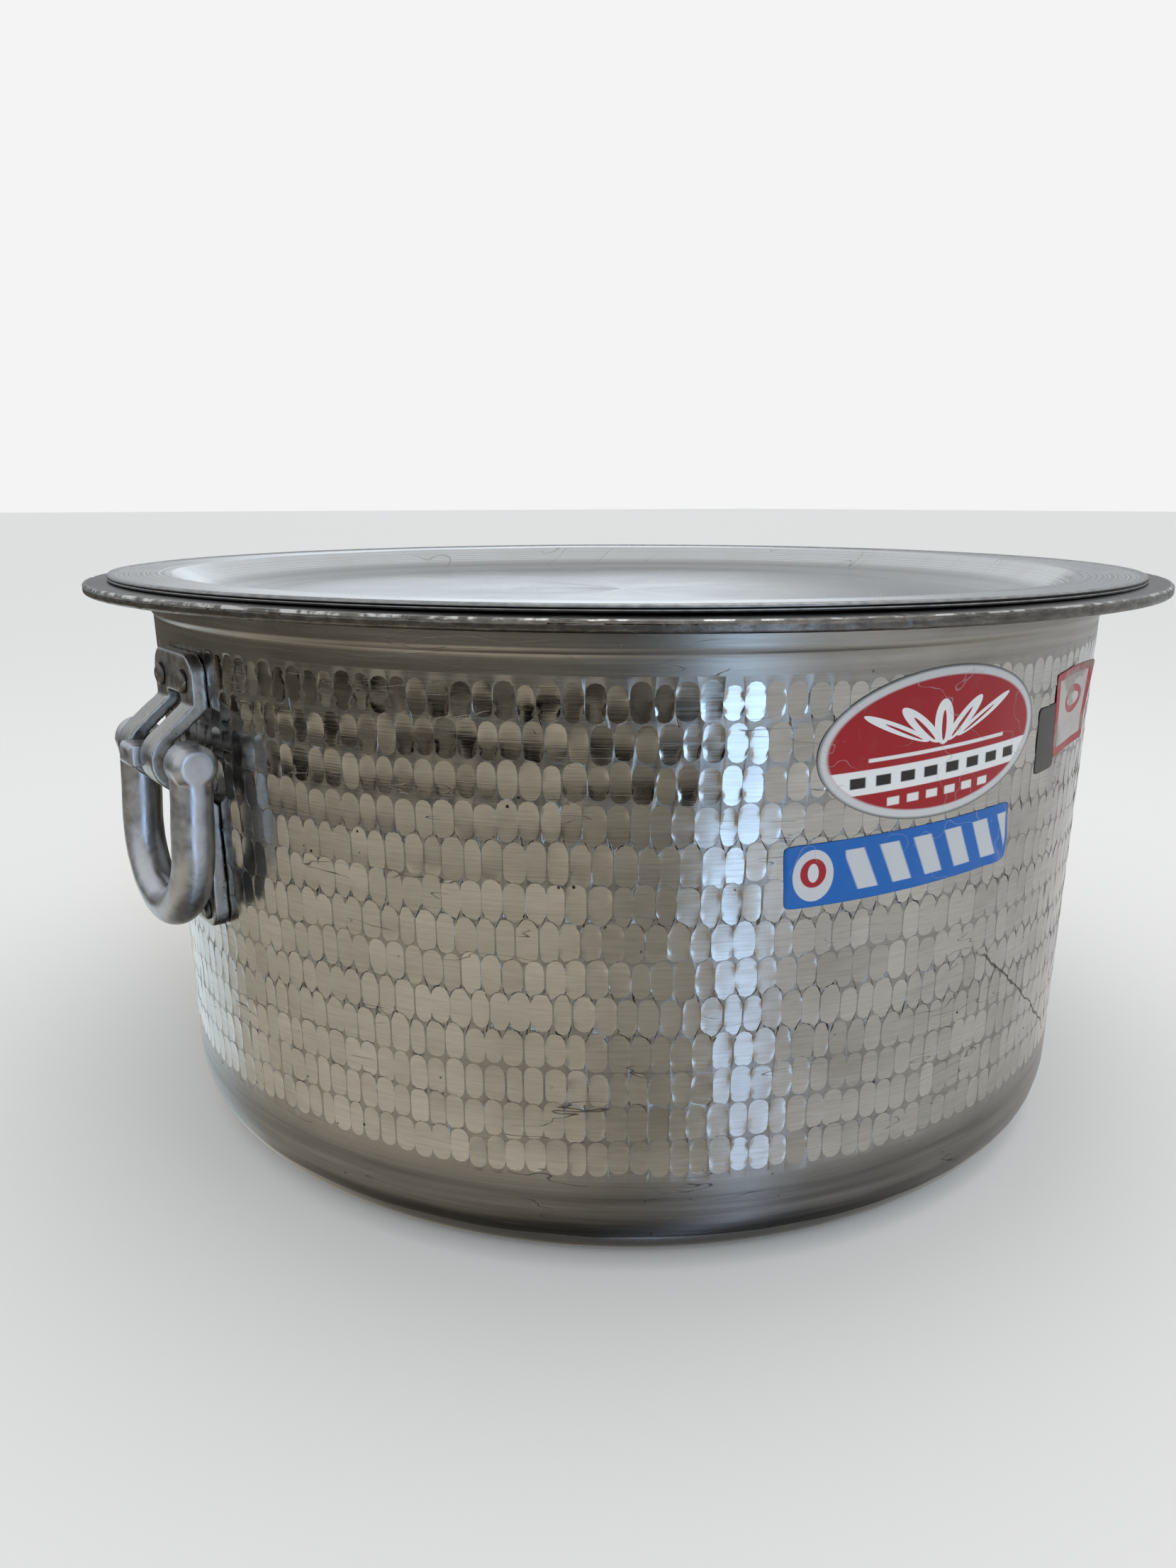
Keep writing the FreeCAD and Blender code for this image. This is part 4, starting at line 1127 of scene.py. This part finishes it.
def studio_world():
    """Soft light from all round: bright above, one tall pale window to the right, taupe ground.

    Seen directly the surroundings are a plain pale wall; the metal mirrors a room.
    """
    world = bpy.data.worlds.new("studio")
    bpy.context.scene.world = world
    world.use_nodes = True
    tree = world.node_tree
    coords = add(tree, "TexCoord").outputs["Generated"]
    up = add(tree, "SeparateXYZ", {0: coords}).outputs[2]
    rise = add(tree, "MapRange", {"Value": up, "From Min": -1.0, "From Max": 1.0}).outputs["Result"]
    flat = add(tree, "VectorMath", {0: coords, 1: (1, 1, 0)}, operation="MULTIPLY").outputs[0]
    level = add(tree, "VectorMath", {0: flat}, operation="NORMALIZE").outputs[0]
    left, right = ground_colours(tree, rise)
    left = blend(tree, band_at(tree, up, -0.25, -0.125, 0.02), left, room_clutter(tree, coords))
    shade = within(tree, toward(tree, level, -28), 24, 8, 1.0, 0.62)
    shade = add(tree, "CombineColor", {0: shade, 1: shade, 2: shade}).outputs[0]
    left = blend(tree, 1.0, left, shade, "MULTIPLY")
    lit = blend(tree, between(tree, toward(tree, level, 61), 0.05, 0.35), left, right)
    lit = far_side(tree, lit, level, up)
    lit = window_light(tree, lit, level, up)
    behind = within(tree, toward(tree, level, -172), 22, 13)
    glint = times(tree, band_at(tree, up, -0.62, -0.25, 0.06), behind)
    lit = blend(tree, glint, lit, [0.85, 0.95, 1.0, 1.0])
    seen = add(tree, "LightPath").outputs["Is Camera Ray"]
    tree.links.new(blend(tree, seen, lit, srgb("#f4f4f4")), tree.nodes["Background"].inputs["Color"])


def make_camera():
    """A wide lens close to the pot, a little above its lid, to the left of the stickers."""
    azimuth = math.radians(-39)
    heading = azimuth + math.pi + math.radians(1.65)
    pitch = math.radians(14.01)
    reach = 562 * MM
    data = bpy.data.cameras.new("camera")
    data.sensor_width = 36
    data.lens = 26.04
    data.clip_start = 0.01
    camera = bpy.data.objects.new("camera", data)
    bpy.context.scene.collection.objects.link(camera)
    camera.location = (reach * math.sin(azimuth), -reach * math.cos(azimuth), RIM + 31.6 * MM)
    level = math.cos(pitch)
    look = Vector((math.sin(heading) * level, -math.cos(heading) * level, -math.sin(pitch)))
    camera.rotation_mode = "QUATERNION"
    camera.rotation_quaternion = look.to_track_quat("-Z", "Y")
    bpy.context.scene.camera = camera


def area_light(name, place, aim, size, power, colour):
    """A square soft light."""
    data = bpy.data.lights.new(name, "AREA")
    data.size = size
    data.energy = power
    data.color = srgb(colour)[:3]
    lamp = bpy.data.objects.new(name, data)
    lamp.location = place
    lamp.rotation_mode = "QUATERNION"
    lamp.rotation_quaternion = (Vector(aim) - Vector(place)).to_track_quat("-Z", "Y")
    bpy.context.scene.collection.objects.link(lamp)


def make_floor():
    """A pale plain floor under the pot, which the metal does not mirror."""
    half = 30
    corners = [(-half, -half, 0), (half, -half, 0), (half, half, 0), (-half, half, 0)]
    mesh = bpy.data.meshes.new("floor")
    mesh.from_pydata(corners, [], [(0, 1, 2, 3)])
    floor = bpy.data.objects.new("floor", mesh)
    bpy.context.scene.collection.objects.link(floor)
    material, _, shader = new_material("studio_floor")
    shader.inputs["Base Color"].default_value = srgb("#f9f6f1")
    shader.inputs["Roughness"].default_value = 0.9
    mesh.materials.append(material)
    floor.visible_glossy = False
    floor.visible_shadow = False


def paint(objects, material):
    """Every object gets that material alone."""
    for obj in objects:
        obj.data.materials.clear()
        obj.data.materials.append(material)


def show_plain():
    """Colours go to the picture as they are, without a film curve."""
    bpy.context.scene.view_settings.view_transform = "Standard"


def main():
    """Builds the pieces, paints them and sets the scene."""
    rng = np.random.default_rng(7)
    sides = ("left", "right")
    paint(list(build_wall(rng)) + [build_rim(rng), build_foot(rng)], hammered_aluminium())
    paint([build_lid(rng)], spun_aluminium())
    rings = [forged_piece(side + "_ring", side + "_ring_handle", side + "_handle", rng)
             for side in sides]
    paint(rings, forged_aluminium("forged_aluminium", "#b2b3b7", "#d0d1d4", 0.37, 0.4, 0.2))
    straps = [forged_piece(side + "_strap", side + "_bracket", "pot", rng, dents=0.12 * MM)
              for side in sides]
    paint(straps, forged_aluminium("strap_aluminium", "#969592", "#bbbab7", 0.32, 0.6, 0.35))
    rivets = [build_rivet(node, rng) for node in sorted(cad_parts) if "rivet" in node]
    paint(rivets, forged_aluminium("rivet_aluminium", "#524d48", "#7f7a73", 0.4, 0.8, 0.45))
    oval, strip, square, reflection_film = build_stickers(rng)
    paint([oval], laminated("red_laminate", oval_print, 0.06))
    paint([strip], laminated("blue_laminate", strip_print, 0.08))
    paint([square], laminated("faded_laminate", square_print, 0.35))
    # The dark film beside the small sticker is painted reflection of its lifted back.
    paint([reflection_film], painted_reflection_material())
    studio_world()
    make_floor()
    area_light("overhead", (0.1, -0.2, 1.3), (0, 0, 0.2), 0.9, 3, "#ffffff")
    make_camera()
    show_plain()


main()
